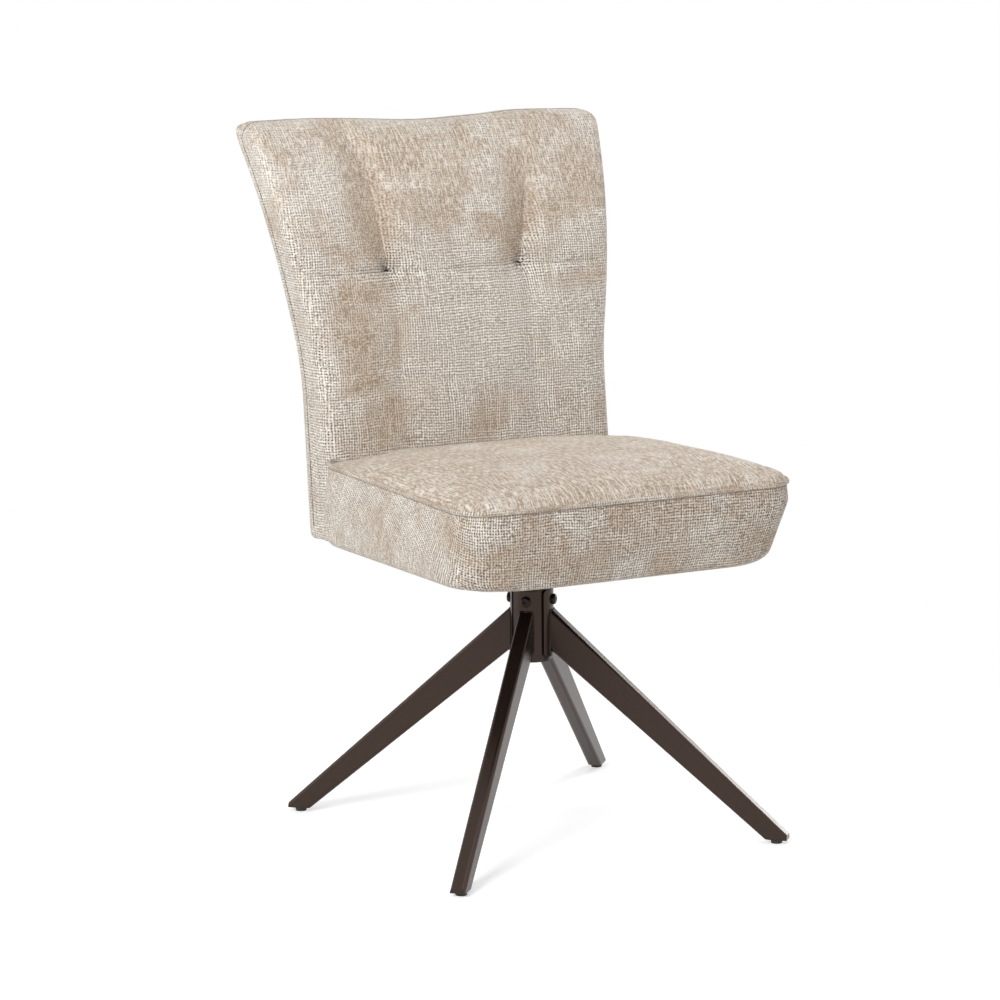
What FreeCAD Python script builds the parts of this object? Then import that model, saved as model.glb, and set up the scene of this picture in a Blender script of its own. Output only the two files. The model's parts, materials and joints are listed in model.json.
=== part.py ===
import FreeCAD, Part
import math
import os

from FreeCAD import Vector

# Swivel dining chair: a four-legged steel base, and an upholstered seat and back that turn on it.
# Sizes are in millimetres. The chair faces -Y, the swivel axis is +Z, and left and right are as
# seen when facing the chair's front. Heights are measured from the floor.

# Fits and clearances
seat_clearance = 0.05      # between a curved face and what is clamped or welded on it
running_clearance = 0.05   # radial clearance of the turning spindle in its bushes
axial_play = 0.05          # play of the thrust bearing and of the retaining washer
soft_clearance = 0.3       # between a cover and what it holds
bolt_clearance = 0.25      # radial clearance of a bolt in its hole

# Column
column_radius = 25.0
column_wall = 5.0
column_length = 101.0
neck_height = 36.2         # from the column's rim up to the seat plate
cap_thickness = 3.0
cap_plug_length = 5.0

# Leg brackets and their screws
bracket_wall = 3.4
bracket_below_rim = 9.0
bracket_height = 89.0
bracket_gap_angle = 8.0    # between two brackets
bracket_corner = 6.0
screw_below_top = 14.0     # from the bracket's top edge down to its screw
screw_radius = 4.0
screw_head_radius = 7.0
screw_head_height = 4.4
screw_head_round = 2.8
screw_socket_across = 5.0
screw_socket_depth = 2.4
screw_tip_back = 0.6       # the screw's tip stays this far inside the column's wall

# Legs
leg_angles = {"front_right": -45.0, "front_left": -135.0, "rear_left": 135.0, "rear_right": 45.0}
leg_width = 20.0
leg_wall = 1.8
leg_edge_radius = 5.0
leg_start_radius = 30.0    # where the two heights at the hub are measured
leg_below_bracket = 28.0   # from the bracket's top edge down to the leg's top at the hub
leg_depth_at_hub = 55.5
leg_reach = 341.0
leg_sole = 30.0            # length of the level foot
leg_toe_height = 6.5
foot_plate_thickness = 3.0

# Glides
glide_inset = 15.0         # from the leg's toe to the middle of the glide
glide_radius = 7.5
glide_height = 5.5
glide_round = 1.0
glide_floor = 2.2
stud_radius = 3.0
stud_length = 13.5

# Spindle and bearing
spindle_radius = 12.5
spindle_end_gap = 2.0      # between the spindle and the end cap
spindle_tip = 6.0          # from the spindle's end up to the lower bush
spindle_boss_rim = 5.5     # how far the boss stands out from the spindle
flange_inset = 1.0         # how far the flange stays inside the column's outside
spindle_flange_thickness = 4.0
bush_length = 20.0
washer_thickness = 1.9
washer_gap = 2.0           # between the retaining washer and the column's bore
circlip_thickness = 1.2
circlip_rim = 3.0          # how far the circlip stands out from the spindle
circlip_groove_depth = 1.0
circlip_opening = 6.0
race_bore_gap = 1.5        # between the races and the spindle
race_inset = 0.5           # how far the races stay inside the column's outside
race_thickness = 2.0
ball_radius = 2.5
ball_count = 12
cage_thickness = 2.0
cage_half_width = 3.5

# Neck collar
collar_gap = 1.2           # between the column and the collar
collar_wall = 2.2
collar_overlap = 6.0       # how far the collar reaches down past the column's rim

# Seat plate and its bolts
plate_thickness = 4.0
plate_half = 100.0
plate_corner = 20.0
plate_bolt_spacing = 150.0
plate_bolt_radius = 4.0
plate_bolt_head_radius = 6.5
plate_bolt_head_height = 5.3
plate_washer_radius = 9.0
plate_washer_thickness = 1.6
tee_flange_radius = 11.0
tee_flange_thickness = 1.5
tee_barrel_wall = 1.2
tee_barrel_start = 5.0     # how far above the board's underside the barrel starts

# Seat
seat_bottom = 371.0
board_thickness = 15.0
board_edge_gap = 0.5
cover_thickness = 3.0
turn_under_width = 25.0
turn_under_thickness = 2.0
seat_half_width = 240.0
seat_front = -276.0
widest_below_welt = 24.0
seat_side_taper = 13.0     # how far the side leans in before the bottom edge turns under
seat_front_taper = 20.0
seat_bottom_round = 17.0
side_height = 105.0        # from the underside to the welt, at the front
welt_inset = 3.5
welt_slope = 1.7           # degrees, rising to the rear
crown_slope = 0.25         # degrees, of the crown's top
seat_bottom_corner = 52.0
seat_top_corner = 46.0
seat_rear_corner = 8.0
crown_rise = 22.0
crown_steps = [(0.0, 0.0), (0.1, 0.5), (0.3, 0.82), (0.62, 0.96), (1.0, 1.0)]
crown_reach = 130.0        # how far in from the welt the crown is still rising
crown_rear_share = 0.12    # the crown stays high where it meets the back
seat_back_gap = 0.8
piping_radius = 2.9
piping_clearance = 0.15

# Spring unit
spring_columns = 5
spring_rows = 5
pocket_radius = 32.0
pocket_gap = 2.0           # between neighbouring pockets
pocket_wall = 0.8
spring_gap = 3.1           # between a spring and its pocket
spring_wire_radius = 1.1
spring_half_turns = 9
sheet_thickness = 2.0
spring_unit_height = 66.0

# Back
back_front_at_reference = 148.0
back_thickness = 78.5      # at the reference height
back_reference_rise = 69.0 # above the seat's underside, as the next rises
back_front_slope = 6.0     # degrees from upright, below the bend
back_rear_slope = 4.75
back_bend_rise = 269.0
back_front_bend_radius = 630.0
back_rear_bend_radius = 668.0
back_half_width = 216.0
back_flare_rise = 189.0
back_flare_radius = 550.0
back_flare_slope = 9.1     # degrees from upright, above the flare's bend
back_height = 552.0        # from the seat's underside to the top
back_front_corner = 24.0
back_rear_corner = 8.0
back_top_round = 14.0
back_top_corner = 26.0
back_bottom_round = 12.0
back_sections = 12

# Back frame
frame_thickness = 15.0
frame_rear_inset = 10.0
frame_side_inset = 14.0
frame_top_inset = 16.0
frame_rail = 55.0
frame_bottom_rail = 105.0
strap_height = 50.0
strap_thickness = 1.6
strap_overlap = 25.0
strap_count = 5
strap_tuft_index = 3
strap_space = 2.6

# Tufts
tuft_x = 100.0
tuft_below_top = 199.0
tuft_ball_radius = 60.0
tuft_depth = 20.0
tie_hole_ahead = 15.0      # how far a tie's hole starts in front of the tie
tie_radius = 1.0
toggle_radius = 2.5
toggle_length = 28.0

# Back brackets and their screws
angle_width = 40.0
angle_thickness = 4.0
angle_x = 150.0
angle_seat_reach = 60.0    # y of the seat leg's front end
angle_height = 95.0
angle_clearance = 0.4
angle_screw_radius = 3.0
angle_screw_head_radius = 5.5
angle_screw_head_height = 3.0
angle_seat_screws = [18.0, 58.0]     # behind the seat leg's front end
angle_back_screws = [34.0, 74.0]     # above the seat's underside
small_tee_radius = 8.5
small_barrel_space = 0.45  # share of the grip that the tee nut's barrel leaves free

# Underside cloth and staples
cloth_thickness = 0.8
cloth_margin = 14.0
staple_margin = 22.0
staple_length = 10.0
staple_width = 1.2
staple_thickness = 0.6
staples_per_side = 7

up = Vector(0, 0, 1)
across = Vector(1, 0, 0)
centre = Vector(0, 0, 0)
leg_bolt_face = column_radius + seat_clearance + bracket_wall
column_bore = column_radius - column_wall
plate_bottom = seat_bottom - cloth_thickness - plate_thickness
column_top = plate_bottom - neck_height
column_bottom = column_top - column_length
bracket_top = column_top - bracket_below_rim
bracket_bottom = bracket_top - bracket_height
screw_height = bracket_top - screw_below_top
leg_top_at_hub = bracket_top - leg_below_bracket
leg_bottom_at_hub = leg_top_at_hub - leg_depth_at_hub
leg_heel = leg_reach - leg_sole
glide_circle = leg_reach - glide_inset
spindle_bottom = column_bottom + cap_plug_length + spindle_end_gap
lower_bush_bottom = spindle_bottom + spindle_tip
race_inner_radius = spindle_radius + race_bore_gap
race_outer_radius = column_radius - race_inset
ball_circle = (race_inner_radius + race_outer_radius) / 2
collar_radius = column_radius + collar_gap + collar_wall
collar_bottom = column_top - collar_overlap
welt_height = seat_bottom + side_height
seat_widest_height = welt_height - widest_below_welt
board_top = seat_bottom + board_thickness
springs_bottom = board_top + sheet_thickness
springs_top = board_top + spring_unit_height
spring_pitch = 2 * pocket_radius + pocket_gap
spring_radius = pocket_radius - pocket_wall - spring_gap - spring_wire_radius
back_rear_at_reference = back_front_at_reference + back_thickness
back_reference_height = seat_bottom + back_reference_rise
back_bend_height = seat_bottom + back_bend_rise
back_flare_start = seat_bottom + back_flare_rise
back_top = seat_bottom + back_height
tuft_height = back_top - tuft_below_top
angle_upper_end = seat_bottom + angle_height
# The springs stand midway between the front of the board and the back.
spring_block_middle = (seat_front + seat_front_taper + seat_bottom_round
                       + back_front_at_reference) / 2


def rod(radius, bottom, top, x=0.0, y=0.0):
    """Upright cylinder between two heights."""
    return Part.makeCylinder(radius, top - bottom, Vector(x, y, bottom))


def ring(outer, inner, bottom, top):
    """Upright ring round the swivel axis."""
    return rod(outer, bottom, top).cut(rod(inner, bottom, top))


def fused(solids):
    """One shape from solids that touch or overlap."""
    shape = solids[0]
    if len(solids) > 1:
        shape = shape.multiFuse(solids[1:])
    return shape.removeSplitter()


def turned(shape, angle):
    """A copy turned about the swivel axis."""
    return shape.rotated(centre, up, angle)


def hexagon(across_flats, bottom, top):
    """Upright hexagonal prism on the swivel axis."""
    corner = across_flats / math.sqrt(3.0)
    corners = []
    for side in range(7):
        angle = math.radians(60.0 * side)
        corners.append(Vector(corner * math.cos(angle), corner * math.sin(angle), bottom))
    return Part.Face(Part.makePolygon(corners)).extrude(Vector(0, 0, top - bottom))


def rounded_box(half_x, half_y, corner, bottom, top):
    """Upright box with rounded upright edges, centred on the swivel axis."""
    box = Part.makeBox(2 * half_x, 2 * half_y, top - bottom, Vector(-half_x, -half_y, bottom))
    upright = [edge for edge in box.Edges if abs(edge.tangentAt(edge.FirstParameter).z) > 0.9]
    return box.makeFillet(corner, upright)


def on_axis(shape, x, y, z, direction):
    """Moves a shape that was made along +Z at the origin to a place and direction."""
    turn = FreeCAD.Rotation(up, direction)
    moved = shape.copy()
    moved.Placement = FreeCAD.Placement(Vector(x, y, z), turn)
    return moved


def arc(middle, radius, first, last):
    """Arc in a level plane, given by its two angles in degrees."""
    points = []
    for angle in (first, (first + last) / 2, last):
        turn = math.radians(angle)
        points.append(middle + Vector(radius * math.cos(turn), radius * math.sin(turn), 0))
    return Part.Arc(*points).toShape()


def line(first, last):
    """Straight edge."""
    return Part.LineSegment(first, last).toShape()


def section_edges(half_width, front, rear, front_radius, rear_radius, height):
    """Edges of a level rectangle with rounded corners, starting with the front edge."""
    front_x = half_width - front_radius
    rear_x = half_width - rear_radius
    front_y = front + front_radius
    rear_y = rear - rear_radius
    return [
        line(Vector(-front_x, front, height), Vector(front_x, front, height)),
        arc(Vector(front_x, front_y, height), front_radius, -90, 0),
        line(Vector(half_width, front_y, height), Vector(half_width, rear_y, height)),
        arc(Vector(rear_x, rear_y, height), rear_radius, 0, 90),
        line(Vector(rear_x, rear, height), Vector(-rear_x, rear, height)),
        arc(Vector(-rear_x, rear_y, height), rear_radius, 90, 180),
        line(Vector(-half_width, rear_y, height), Vector(-half_width, front_y, height)),
        arc(Vector(-front_x, front_y, height), front_radius, 180, 270),
    ]


def section(half_width, front, rear, front_radius, rear_radius, height):
    """Closed wire of section_edges."""
    return Part.Wire(section_edges(half_width, front, rear, front_radius, rear_radius, height))


def loft(wires):
    """Smooth closed solid through wires."""
    return Part.makeLoft(wires, True, False)


def ruled_loft(wires):
    """Closed solid with straight sides from each wire to the next."""
    return Part.makeLoft(wires, True, True)


def bent(height, start, slope, bend, radius, reference):
    """Profile that is straight at a slope up to the bend's height and then an arc."""
    lean = math.radians(slope)
    straight = start + math.tan(lean) * (min(height, bend) - reference)
    if height <= bend:
        return straight
    sine = math.sin(lean) + (height - bend) / radius
    return straight + radius * (math.cos(lean) - math.sqrt(1.0 - sine * sine))


def back_front(height):
    """y of the back's front face."""
    return bent(height, back_front_at_reference, back_front_slope, back_bend_height,
                back_front_bend_radius, back_reference_height)


def back_rear(height):
    """y of the back's rear face."""
    return bent(height, back_rear_at_reference, back_rear_slope, back_bend_height,
                back_rear_bend_radius, back_reference_height)


def back_side(height):
    """Half width of the back: upright, a bend, then a straight flare."""
    flare = math.radians(back_flare_slope)
    bend_end = back_flare_start + back_flare_radius * math.sin(flare)
    in_bend = min(max(height, back_flare_start), bend_end) - back_flare_start
    bulge = back_flare_radius - math.sqrt(back_flare_radius ** 2 - in_bend ** 2)
    return back_half_width + bulge + math.tan(flare) * max(0.0, height - bend_end)


# Column


def make_column():
    """Column tube with a tapped hole for each leg screw, and its end cap."""
    tube = ring(column_radius, column_bore, column_bottom, column_top)
    for angle in leg_angles.values():
        hole = on_axis(Part.makeCylinder(screw_radius, 2 * column_radius), 0, 0, screw_height, across)
        tube = tube.cut(turned(hole, angle))
    cap = rod(column_radius, column_bottom - cap_thickness, column_bottom)
    plug = rod(column_bore - seat_clearance, column_bottom, column_bottom + cap_plug_length)
    return tube, fused([cap, plug])


def make_bush(bottom):
    """Plain bush between the column's bore and the spindle."""
    return ring(column_bore - seat_clearance, spindle_radius + running_clearance,
                bottom, bottom + bush_length)


# Legs


def leg_line(radius, start_height, end_radius, end_height, inset):
    """Height of a leg's long edge at a radius, moved square to itself by an inset."""
    slope = (end_height - start_height) / (end_radius - leg_start_radius)
    return start_height + slope * (radius - leg_start_radius) + inset * math.sqrt(1 + slope * slope)


def leg_prism(inset, drop):
    """Solid leg along +X with rounded long edges; a drop carries it on below the foot."""
    foot = glide_height
    start = column_radius - inset
    toe = leg_reach - inset
    slope = (foot - leg_bottom_at_hub) / (leg_heel - leg_start_radius)
    heel_rise = inset * math.sqrt(1 + slope * slope)
    heel = leg_heel - (heel_rise + drop) / slope
    toe_top = foot + leg_toe_height
    points = [
        Vector(start, 0, leg_line(start, leg_top_at_hub, leg_reach, toe_top, -inset)),
        Vector(toe, 0, leg_line(toe, leg_top_at_hub, leg_reach, toe_top, -inset)),
        Vector(toe, 0, foot - drop),
        Vector(heel, 0, foot - drop),
        Vector(start, 0, leg_line(start, leg_bottom_at_hub, leg_heel, foot, inset)),
    ]
    face = Part.Face(Part.makePolygon(points + points[:1]))
    face.translate(Vector(0, inset - leg_width / 2, 0))
    prism = face.extrude(Vector(0, leg_width - 2 * inset, 0))
    long_edges = [edge for edge in prism.Edges if edge.Length > leg_reach / 2]
    return prism.makeFillet(leg_edge_radius - inset, long_edges)


def make_leg():
    """Hollow tapered leg along +X, coped to the bracket's face."""
    tube = leg_prism(0.0, 0.0).cut(leg_prism(leg_wall, glide_height))
    return tube.cut(rod(leg_bolt_face + seat_clearance, 0, column_top))


def make_foot_plate():
    """Plate that closes a leg's foot and takes the glide's stud."""
    slab = Part.makeBox(leg_reach, leg_width, foot_plate_thickness,
                        Vector(0, -leg_width / 2, glide_height))
    plate = leg_prism(leg_wall + seat_clearance, glide_height).common(slab)
    return plate.cut(rod(stud_radius + bolt_clearance, 0, leg_reach, glide_circle))


def make_bracket():
    """Quarter shell along +X that clamps on the column."""
    inner = column_radius + seat_clearance
    profile = Part.makeBox(bracket_wall, 1.0, bracket_top - bracket_bottom,
                           Vector(inner, 0, bracket_bottom)).Faces
    profile = [face for face in profile if face.BoundBox.YMax < 0.5][0]
    sweep = 360.0 / len(leg_angles) - bracket_gap_angle
    shell = turned(profile.revolve(centre, up, sweep), -sweep / 2)
    corners = [edge for edge in shell.Edges if abs(edge.Length - bracket_wall) < 0.01]
    shell = shell.makeFillet(bracket_corner, corners)
    hole = on_axis(Part.makeCylinder(screw_radius + bolt_clearance, 2 * column_radius),
                   0, 0, screw_height, across)
    return shell.cut(hole)


def button_screw(radius, length, head_radius, head_height, head_round):
    """Button head screw along +Z: its head starts at the origin and its shank goes below."""
    head = Part.makeCylinder(head_radius, head_height)
    rim = [edge for edge in head.Edges if edge.BoundBox.ZMin > head_height / 2]
    head = head.makeFillet(head_round, rim)
    shank = rod(radius, -length, 0)
    socket = hexagon(screw_socket_across, head_height - screw_socket_depth, head_height)
    return fused([head, shank]).cut(socket)


def make_leg_screw():
    """Screw along +X that clamps a bracket on the column."""
    seat = leg_bolt_face + seat_clearance
    length = seat - column_bore - screw_tip_back
    screw = button_screw(screw_radius - seat_clearance, length, screw_head_radius,
                         screw_head_height, screw_head_round)
    return on_axis(screw, seat, 0, screw_height, across)


def make_glide():
    """Round glide under the foot, with a blind hole for its stud."""
    pad = rod(glide_radius, 0, glide_height, glide_circle)
    lower = [edge for edge in pad.Edges if edge.BoundBox.ZMax < glide_height / 2]
    pad = pad.makeFillet(glide_round, lower)
    return pad.cut(rod(stud_radius + seat_clearance, glide_floor, glide_height, glide_circle))


def make_stud():
    """Threaded stud that joins a glide to its foot plate."""
    bottom = glide_floor + seat_clearance
    return rod(stud_radius, bottom, bottom + stud_length, glide_circle)


# Bearing and spindle


def make_bearing():
    """Thrust bearing on the column's rim: lower race, cage, balls, upper race."""
    lower_top = column_top + race_thickness
    ball_middle = lower_top + ball_radius
    upper_bottom = ball_middle + ball_radius + axial_play
    lower = ring(race_outer_radius, race_inner_radius, column_top, lower_top)
    upper = ring(race_outer_radius, race_inner_radius, upper_bottom, upper_bottom + race_thickness)
    cage = ring(ball_circle + cage_half_width, ball_circle - cage_half_width,
                ball_middle - cage_thickness / 2, ball_middle + cage_thickness / 2)
    balls = []
    for index in range(ball_count):
        angle = 360.0 * index / ball_count
        hole = rod(ball_radius + seat_clearance, column_top, upper_bottom, ball_circle)
        cage = cage.cut(turned(hole, angle))
        ball = Part.makeSphere(ball_radius, Vector(ball_circle, 0, ball_middle))
        balls.append(turned(ball, angle))
    return lower, cage, Part.makeCompound(balls), upper


def make_spindle():
    """Turning spindle with its flange, boss and circlip groove, and the parts that keep it in."""
    flange_bottom = column_top + 2 * race_thickness + 2 * ball_radius + axial_play
    shaft = rod(spindle_radius, spindle_bottom, flange_bottom)
    flange = rod(column_radius - flange_inset, flange_bottom,
                 flange_bottom + spindle_flange_thickness)
    boss = rod(spindle_radius + spindle_boss_rim, flange_bottom, plate_bottom)
    washer_radius = column_bore - washer_gap
    circlip_radius = spindle_radius + circlip_rim
    washer_top = lower_bush_bottom - axial_play
    washer = ring(washer_radius, spindle_radius + running_clearance,
                  washer_top - washer_thickness, washer_top)
    clip_top = washer_top - washer_thickness
    clip_inner = spindle_radius - circlip_groove_depth + seat_clearance
    clip = ring(circlip_radius, clip_inner, clip_top - circlip_thickness, clip_top)
    opening = Part.makeBox(circlip_radius, circlip_opening, circlip_thickness,
                           Vector(0, -circlip_opening / 2, clip_top - circlip_thickness))
    groove = ring(circlip_radius, spindle_radius - circlip_groove_depth,
                  clip_top - circlip_thickness - seat_clearance, clip_top + seat_clearance)
    spindle = fused([shaft, flange, boss]).cut(groove)
    return spindle, washer, clip.cut(opening)


def make_collar():
    """Collar under the seat plate that hides the bearing."""
    return ring(collar_radius, collar_radius - collar_wall, collar_bottom, plate_bottom)


# Seat


def seat_edges(height, inset):
    """Edges of the seat's side section at a height, with the covers' inset."""
    if height <= seat_widest_height:
        share = (seat_widest_height - height) / (seat_widest_height - seat_bottom)
        turn = max(0.0, seat_bottom_round - (height - seat_bottom))
        under = seat_bottom_round - math.sqrt(seat_bottom_round ** 2 - turn ** 2)
        side_in = seat_side_taper * share + under
        front_in = seat_front_taper * share + under
    else:
        share = (height - seat_widest_height) / (welt_height - seat_widest_height)
        side_in = welt_inset * share
        front_in = side_in
    raised = max(0.0, (height - board_top) / (welt_height - board_top))
    corner = seat_bottom_corner + (seat_top_corner - seat_bottom_corner) * raised
    tilt = welt_slope * raised
    front = seat_front + front_in + inset
    rear_height = height + math.tan(math.radians(tilt)) * (back_front(height) - front)
    rear = back_front(rear_height) - seat_back_gap - inset
    rear_corner = max(seat_rear_corner - inset, cover_thickness)
    edges = section_edges(seat_half_width - side_in - inset, front, rear, corner - inset,
                          rear_corner, height)
    return [edge.rotated(Vector(0, seat_front, height), across, tilt) for edge in edges]


def seat_heights():
    """Heights of the sections that the seat's side is lofted through."""
    turned_in = [seat_bottom + seat_bottom_round * share for share in (0.0, 0.1, 0.35, 1.0)]
    start = turned_in[-1]
    straight = [start + share * (seat_widest_height - start) for share in (0.33, 0.67, 1.0)]
    return turned_in + straight + [(seat_widest_height + welt_height) / 2, welt_height]


def seat_block(inset):
    """The seat from its underside to the welt, smaller by an inset."""
    return loft([Part.Wire(seat_edges(height, inset)) for height in seat_heights()])


def crown_block(inset):
    """The crown above the welt, smaller and lower by an inset."""
    front = seat_front + welt_inset
    wires = []
    for reach, rise in crown_steps:
        inward = crown_reach * reach + inset
        height = welt_height + (crown_rise - inset) * rise
        slope = welt_slope + (crown_slope - welt_slope) * rise
        rear_height = height + math.tan(math.radians(slope)) * (back_front(height) - front)
        rear = back_front(rear_height) - seat_back_gap - inset - crown_rear_share * (inward - inset)
        corner = seat_top_corner - inset
        wire = section(seat_half_width - welt_inset - inward, front + inward, rear,
                       corner + (inward - inset) / 2, seat_rear_corner - inset, height)
        wires.append(wire.rotated(Vector(0, seat_front, height), across, slope))
    return loft(wires)


def welt_path():
    """Open path of the piping: up one side, across the front and back along the other side."""
    edges = seat_edges(welt_height, 0.0)
    return Part.Wire([edges[6], edges[7], edges[0], edges[1], edges[2]])


def welt_rod(radius):
    """Round rod along the welt."""
    path = welt_path()
    start = path.OrderedVertexes[0].Point
    heading = path.OrderedEdges[0].tangentAt(path.OrderedEdges[0].FirstParameter)
    circle = Part.Wire(Part.makeCircle(radius, start, heading))
    return path.makePipeShell([circle], True, False)


def make_seat_board(bracket_space):
    """Plywood board with a rebate for the turned-under cover, bracket seats and bolt holes."""
    outline = Part.Face(Part.Wire(seat_edges(seat_bottom, cover_thickness + board_edge_gap)))
    board = outline.extrude(Vector(0, 0, board_thickness))
    outer = Part.Face(Part.Wire(seat_edges(seat_bottom, -turn_under_thickness)))
    middle = Part.Face(Part.Wire(seat_edges(seat_bottom, turn_under_width + soft_clearance)))
    depth = Vector(0, 0, turn_under_thickness + soft_clearance)
    board = board.cut(outer.extrude(depth).cut(middle.extrude(depth)))
    for shape in bracket_space:
        board = board.cut(shape)
    return board


def make_seat_cover(bracket_space):
    """Side panel with its turned-under edge, and top panel, both open to the piping."""
    outer = seat_block(0.0)
    sides = outer.cut(seat_block(cover_thickness))
    edge = Part.Face(Part.Wire(seat_edges(seat_bottom, cover_thickness / 2)))
    hole = Part.Face(Part.Wire(seat_edges(seat_bottom, turn_under_width)))
    depth = Vector(0, 0, turn_under_thickness)
    sides = fused([sides, edge.extrude(depth).cut(hole.extrude(depth))])
    channel = welt_rod(piping_radius + piping_clearance)
    for shape in bracket_space:
        sides = sides.cut(shape)
    top = crown_block(0.0).cut(crown_block(cover_thickness))
    return sides.cut(channel), top.cut(channel)


def spring_places():
    """Centres of the pocket springs."""
    places = []
    for column in range(spring_columns):
        for row in range(spring_rows):
            x = (column - (spring_columns - 1) / 2) * spring_pitch
            y = spring_block_middle + (row - (spring_rows - 1) / 2) * spring_pitch
            places.append(Vector(x, y, 0))
    return places


def make_spring():
    """Coil spring of half turns: each is an arc in a plane that tilts up to the next."""
    low = springs_bottom + soft_clearance + spring_wire_radius
    high = springs_top - sheet_thickness - soft_clearance - spring_wire_radius
    rise = (high - low) / spring_half_turns
    turns = []
    for index in range(spring_half_turns):
        side = 1 if index % 2 == 0 else -1
        first = Vector(side * spring_radius, 0, low + rise * index)
        middle = Vector(0, 0, low + rise * (index + 0.5))
        wire = Part.Wire(Part.makeCircle(spring_wire_radius, first, Vector(0, 1, 0)))
        axis = (first - middle).cross(Vector(0, side, 0))
        turns.append(Part.Face(wire).revolve(middle, axis, 180))
    return fused(turns)


def make_spring_unit(tee_space):
    """Base sheet, pockets, coil springs and top sheet."""
    half_x = (spring_columns - 1) / 2 * spring_pitch + pocket_radius
    half_y = (spring_rows - 1) / 2 * spring_pitch + pocket_radius
    corner = Vector(-half_x, spring_block_middle - half_y, board_top)
    sheet = Part.makeBox(2 * half_x, 2 * half_y, sheet_thickness, corner)
    top_sheet = sheet.translated(Vector(0, 0, springs_top - sheet_thickness - board_top))
    for shape in tee_space:
        sheet = sheet.cut(shape)
    sleeve = ring(pocket_radius, pocket_radius - pocket_wall, springs_bottom,
                  springs_top - sheet_thickness)
    spring = make_spring()
    sleeves = [sleeve.translated(place) for place in spring_places()]
    springs = [spring.translated(place) for place in spring_places()]
    space = Part.makeBox(2 * (half_x + soft_clearance), 2 * (half_y + soft_clearance),
                         spring_unit_height, corner - Vector(soft_clearance, soft_clearance, 0))
    return sheet, Part.makeCompound(sleeves), Part.makeCompound(springs), top_sheet, space


def make_seat_foam(spring_space, other_space):
    """Foam round the spring unit, and the foam topper on both."""
    inset = cover_thickness + soft_clearance
    whole = fused([seat_block(inset), crown_block(inset)])
    wide = 4 * seat_half_width
    lower = Part.makeBox(wide, wide, spring_unit_height, Vector(-wide / 2, -wide / 2, board_top))
    upper = Part.makeBox(wide, wide, wide, Vector(-wide / 2, -wide / 2, springs_top))
    surround = whole.common(lower).cut(spring_space)
    for shape in other_space:
        surround = surround.cut(shape)
    topper = whole.common(upper).cut(welt_rod(piping_radius + piping_clearance))
    return surround, topper


# Back


def rounding(radius, depth):
    """How far a rounded edge has pulled in at a depth below its tip."""
    turn = min(max(radius - depth, 0.0), radius)
    return radius - math.sqrt(radius * radius - turn * turn)


def back_wires(inset):
    """Sections of the whole back, smaller by an inset, with rounded upper and lower ends."""
    top = back_top - inset
    heights = [seat_bottom + back_bottom_round * share for share in (0.0, 0.15, 0.45)]
    first = seat_bottom + back_bottom_round
    last = top - back_top_corner
    for index in range(back_sections):
        heights.append(first + (last - first) * index / (back_sections - 1))
    heights.extend(top - back_top_corner * share for share in (0.6, 0.3, 0.12, 0.03, 0.0))
    return [back_section(height, top, inset) for height in heights]


def back_section(height, top, inset):
    """Level section of the back."""
    under = rounding(back_bottom_round, height - seat_bottom)
    over = rounding(back_top_round, top - height)
    front_corner = back_front_corner - inset - over
    rear_corner = max(back_rear_corner - inset, cover_thickness)
    side = back_side(height) - inset - under - rounding(back_top_corner, top - height)
    return section(side, back_front(height) + inset + over,
                   back_rear(height) - inset - under - over, front_corner, rear_corner, height)


def bent_profile(front_offset, rear_offset, bottom, top):
    """Slab between two offsets in front of the back's rear face, made of exact lines and arcs."""
    def at(height, offset):
        return Vector(0, back_rear(height) - offset, height)

    bend = back_bend_height
    middle = (bend + top) / 2
    edges = [
        line(at(bottom, front_offset), at(bend, front_offset)),
        Part.Arc(at(bend, front_offset), at(middle, front_offset), at(top, front_offset)).toShape(),
        line(at(top, front_offset), at(top, rear_offset)),
        Part.Arc(at(top, rear_offset), at(middle, rear_offset), at(bend, rear_offset)).toShape(),
        line(at(bend, rear_offset), at(bottom, rear_offset)),
        line(at(bottom, rear_offset), at(bottom, front_offset)),
    ]
    width = 4 * back_half_width
    face = Part.Face(Part.Wire(edges))
    face.translate(Vector(-width / 2, 0, 0))
    return face.extrude(Vector(width, 0, 0))


def outline_prism(inset, bottom, top):
    """Prism along Y of the back's front view, smaller by an inset, with sharp corners."""
    flare = math.radians(back_flare_slope)
    bend_end = back_flare_start + back_flare_radius * math.sin(flare)
    middle = (back_flare_start + bend_end) / 2

    def at(height, side):
        return Vector(side * (back_side(height) - inset), 0, height)

    edges = [
        line(at(bottom, -1), at(bottom, 1)),
        line(at(bottom, 1), at(back_flare_start, 1)),
        Part.Arc(at(back_flare_start, 1), at(middle, 1), at(bend_end, 1)).toShape(),
        line(at(bend_end, 1), at(top, 1)),
        line(at(top, 1), at(top, -1)),
        line(at(top, -1), at(bend_end, -1)),
        Part.Arc(at(bend_end, -1), at(middle, -1), at(back_flare_start, -1)).toShape(),
        line(at(back_flare_start, -1), at(bottom, -1)),
    ]
    return Part.Face(Part.Wire(edges)).extrude(Vector(0, 2 * back_rear(back_top), 0))


def make_back_frame(bolt_holes):
    """Curved plywood frame with a window for the webbing."""
    top = back_top - frame_top_inset
    slab = bent_profile(frame_rear_inset + frame_thickness, frame_rear_inset,
                        seat_bottom + back_bottom_round, top)
    frame = slab.common(outline_prism(frame_side_inset, seat_bottom, back_top))
    window = outline_prism(frame_side_inset + frame_rail, seat_bottom + frame_bottom_rail,
                           top - frame_rail)
    frame = frame.cut(window)
    for hole in bolt_holes:
        frame = frame.cut(hole)
    return frame


def lean_at(height):
    """Lean of the back's rear face at a height, in degrees from upright."""
    sine = math.sin(math.radians(back_rear_slope))
    sine = sine + max(0.0, height - back_bend_height) / back_rear_bend_radius
    return math.degrees(math.asin(sine))


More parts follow.
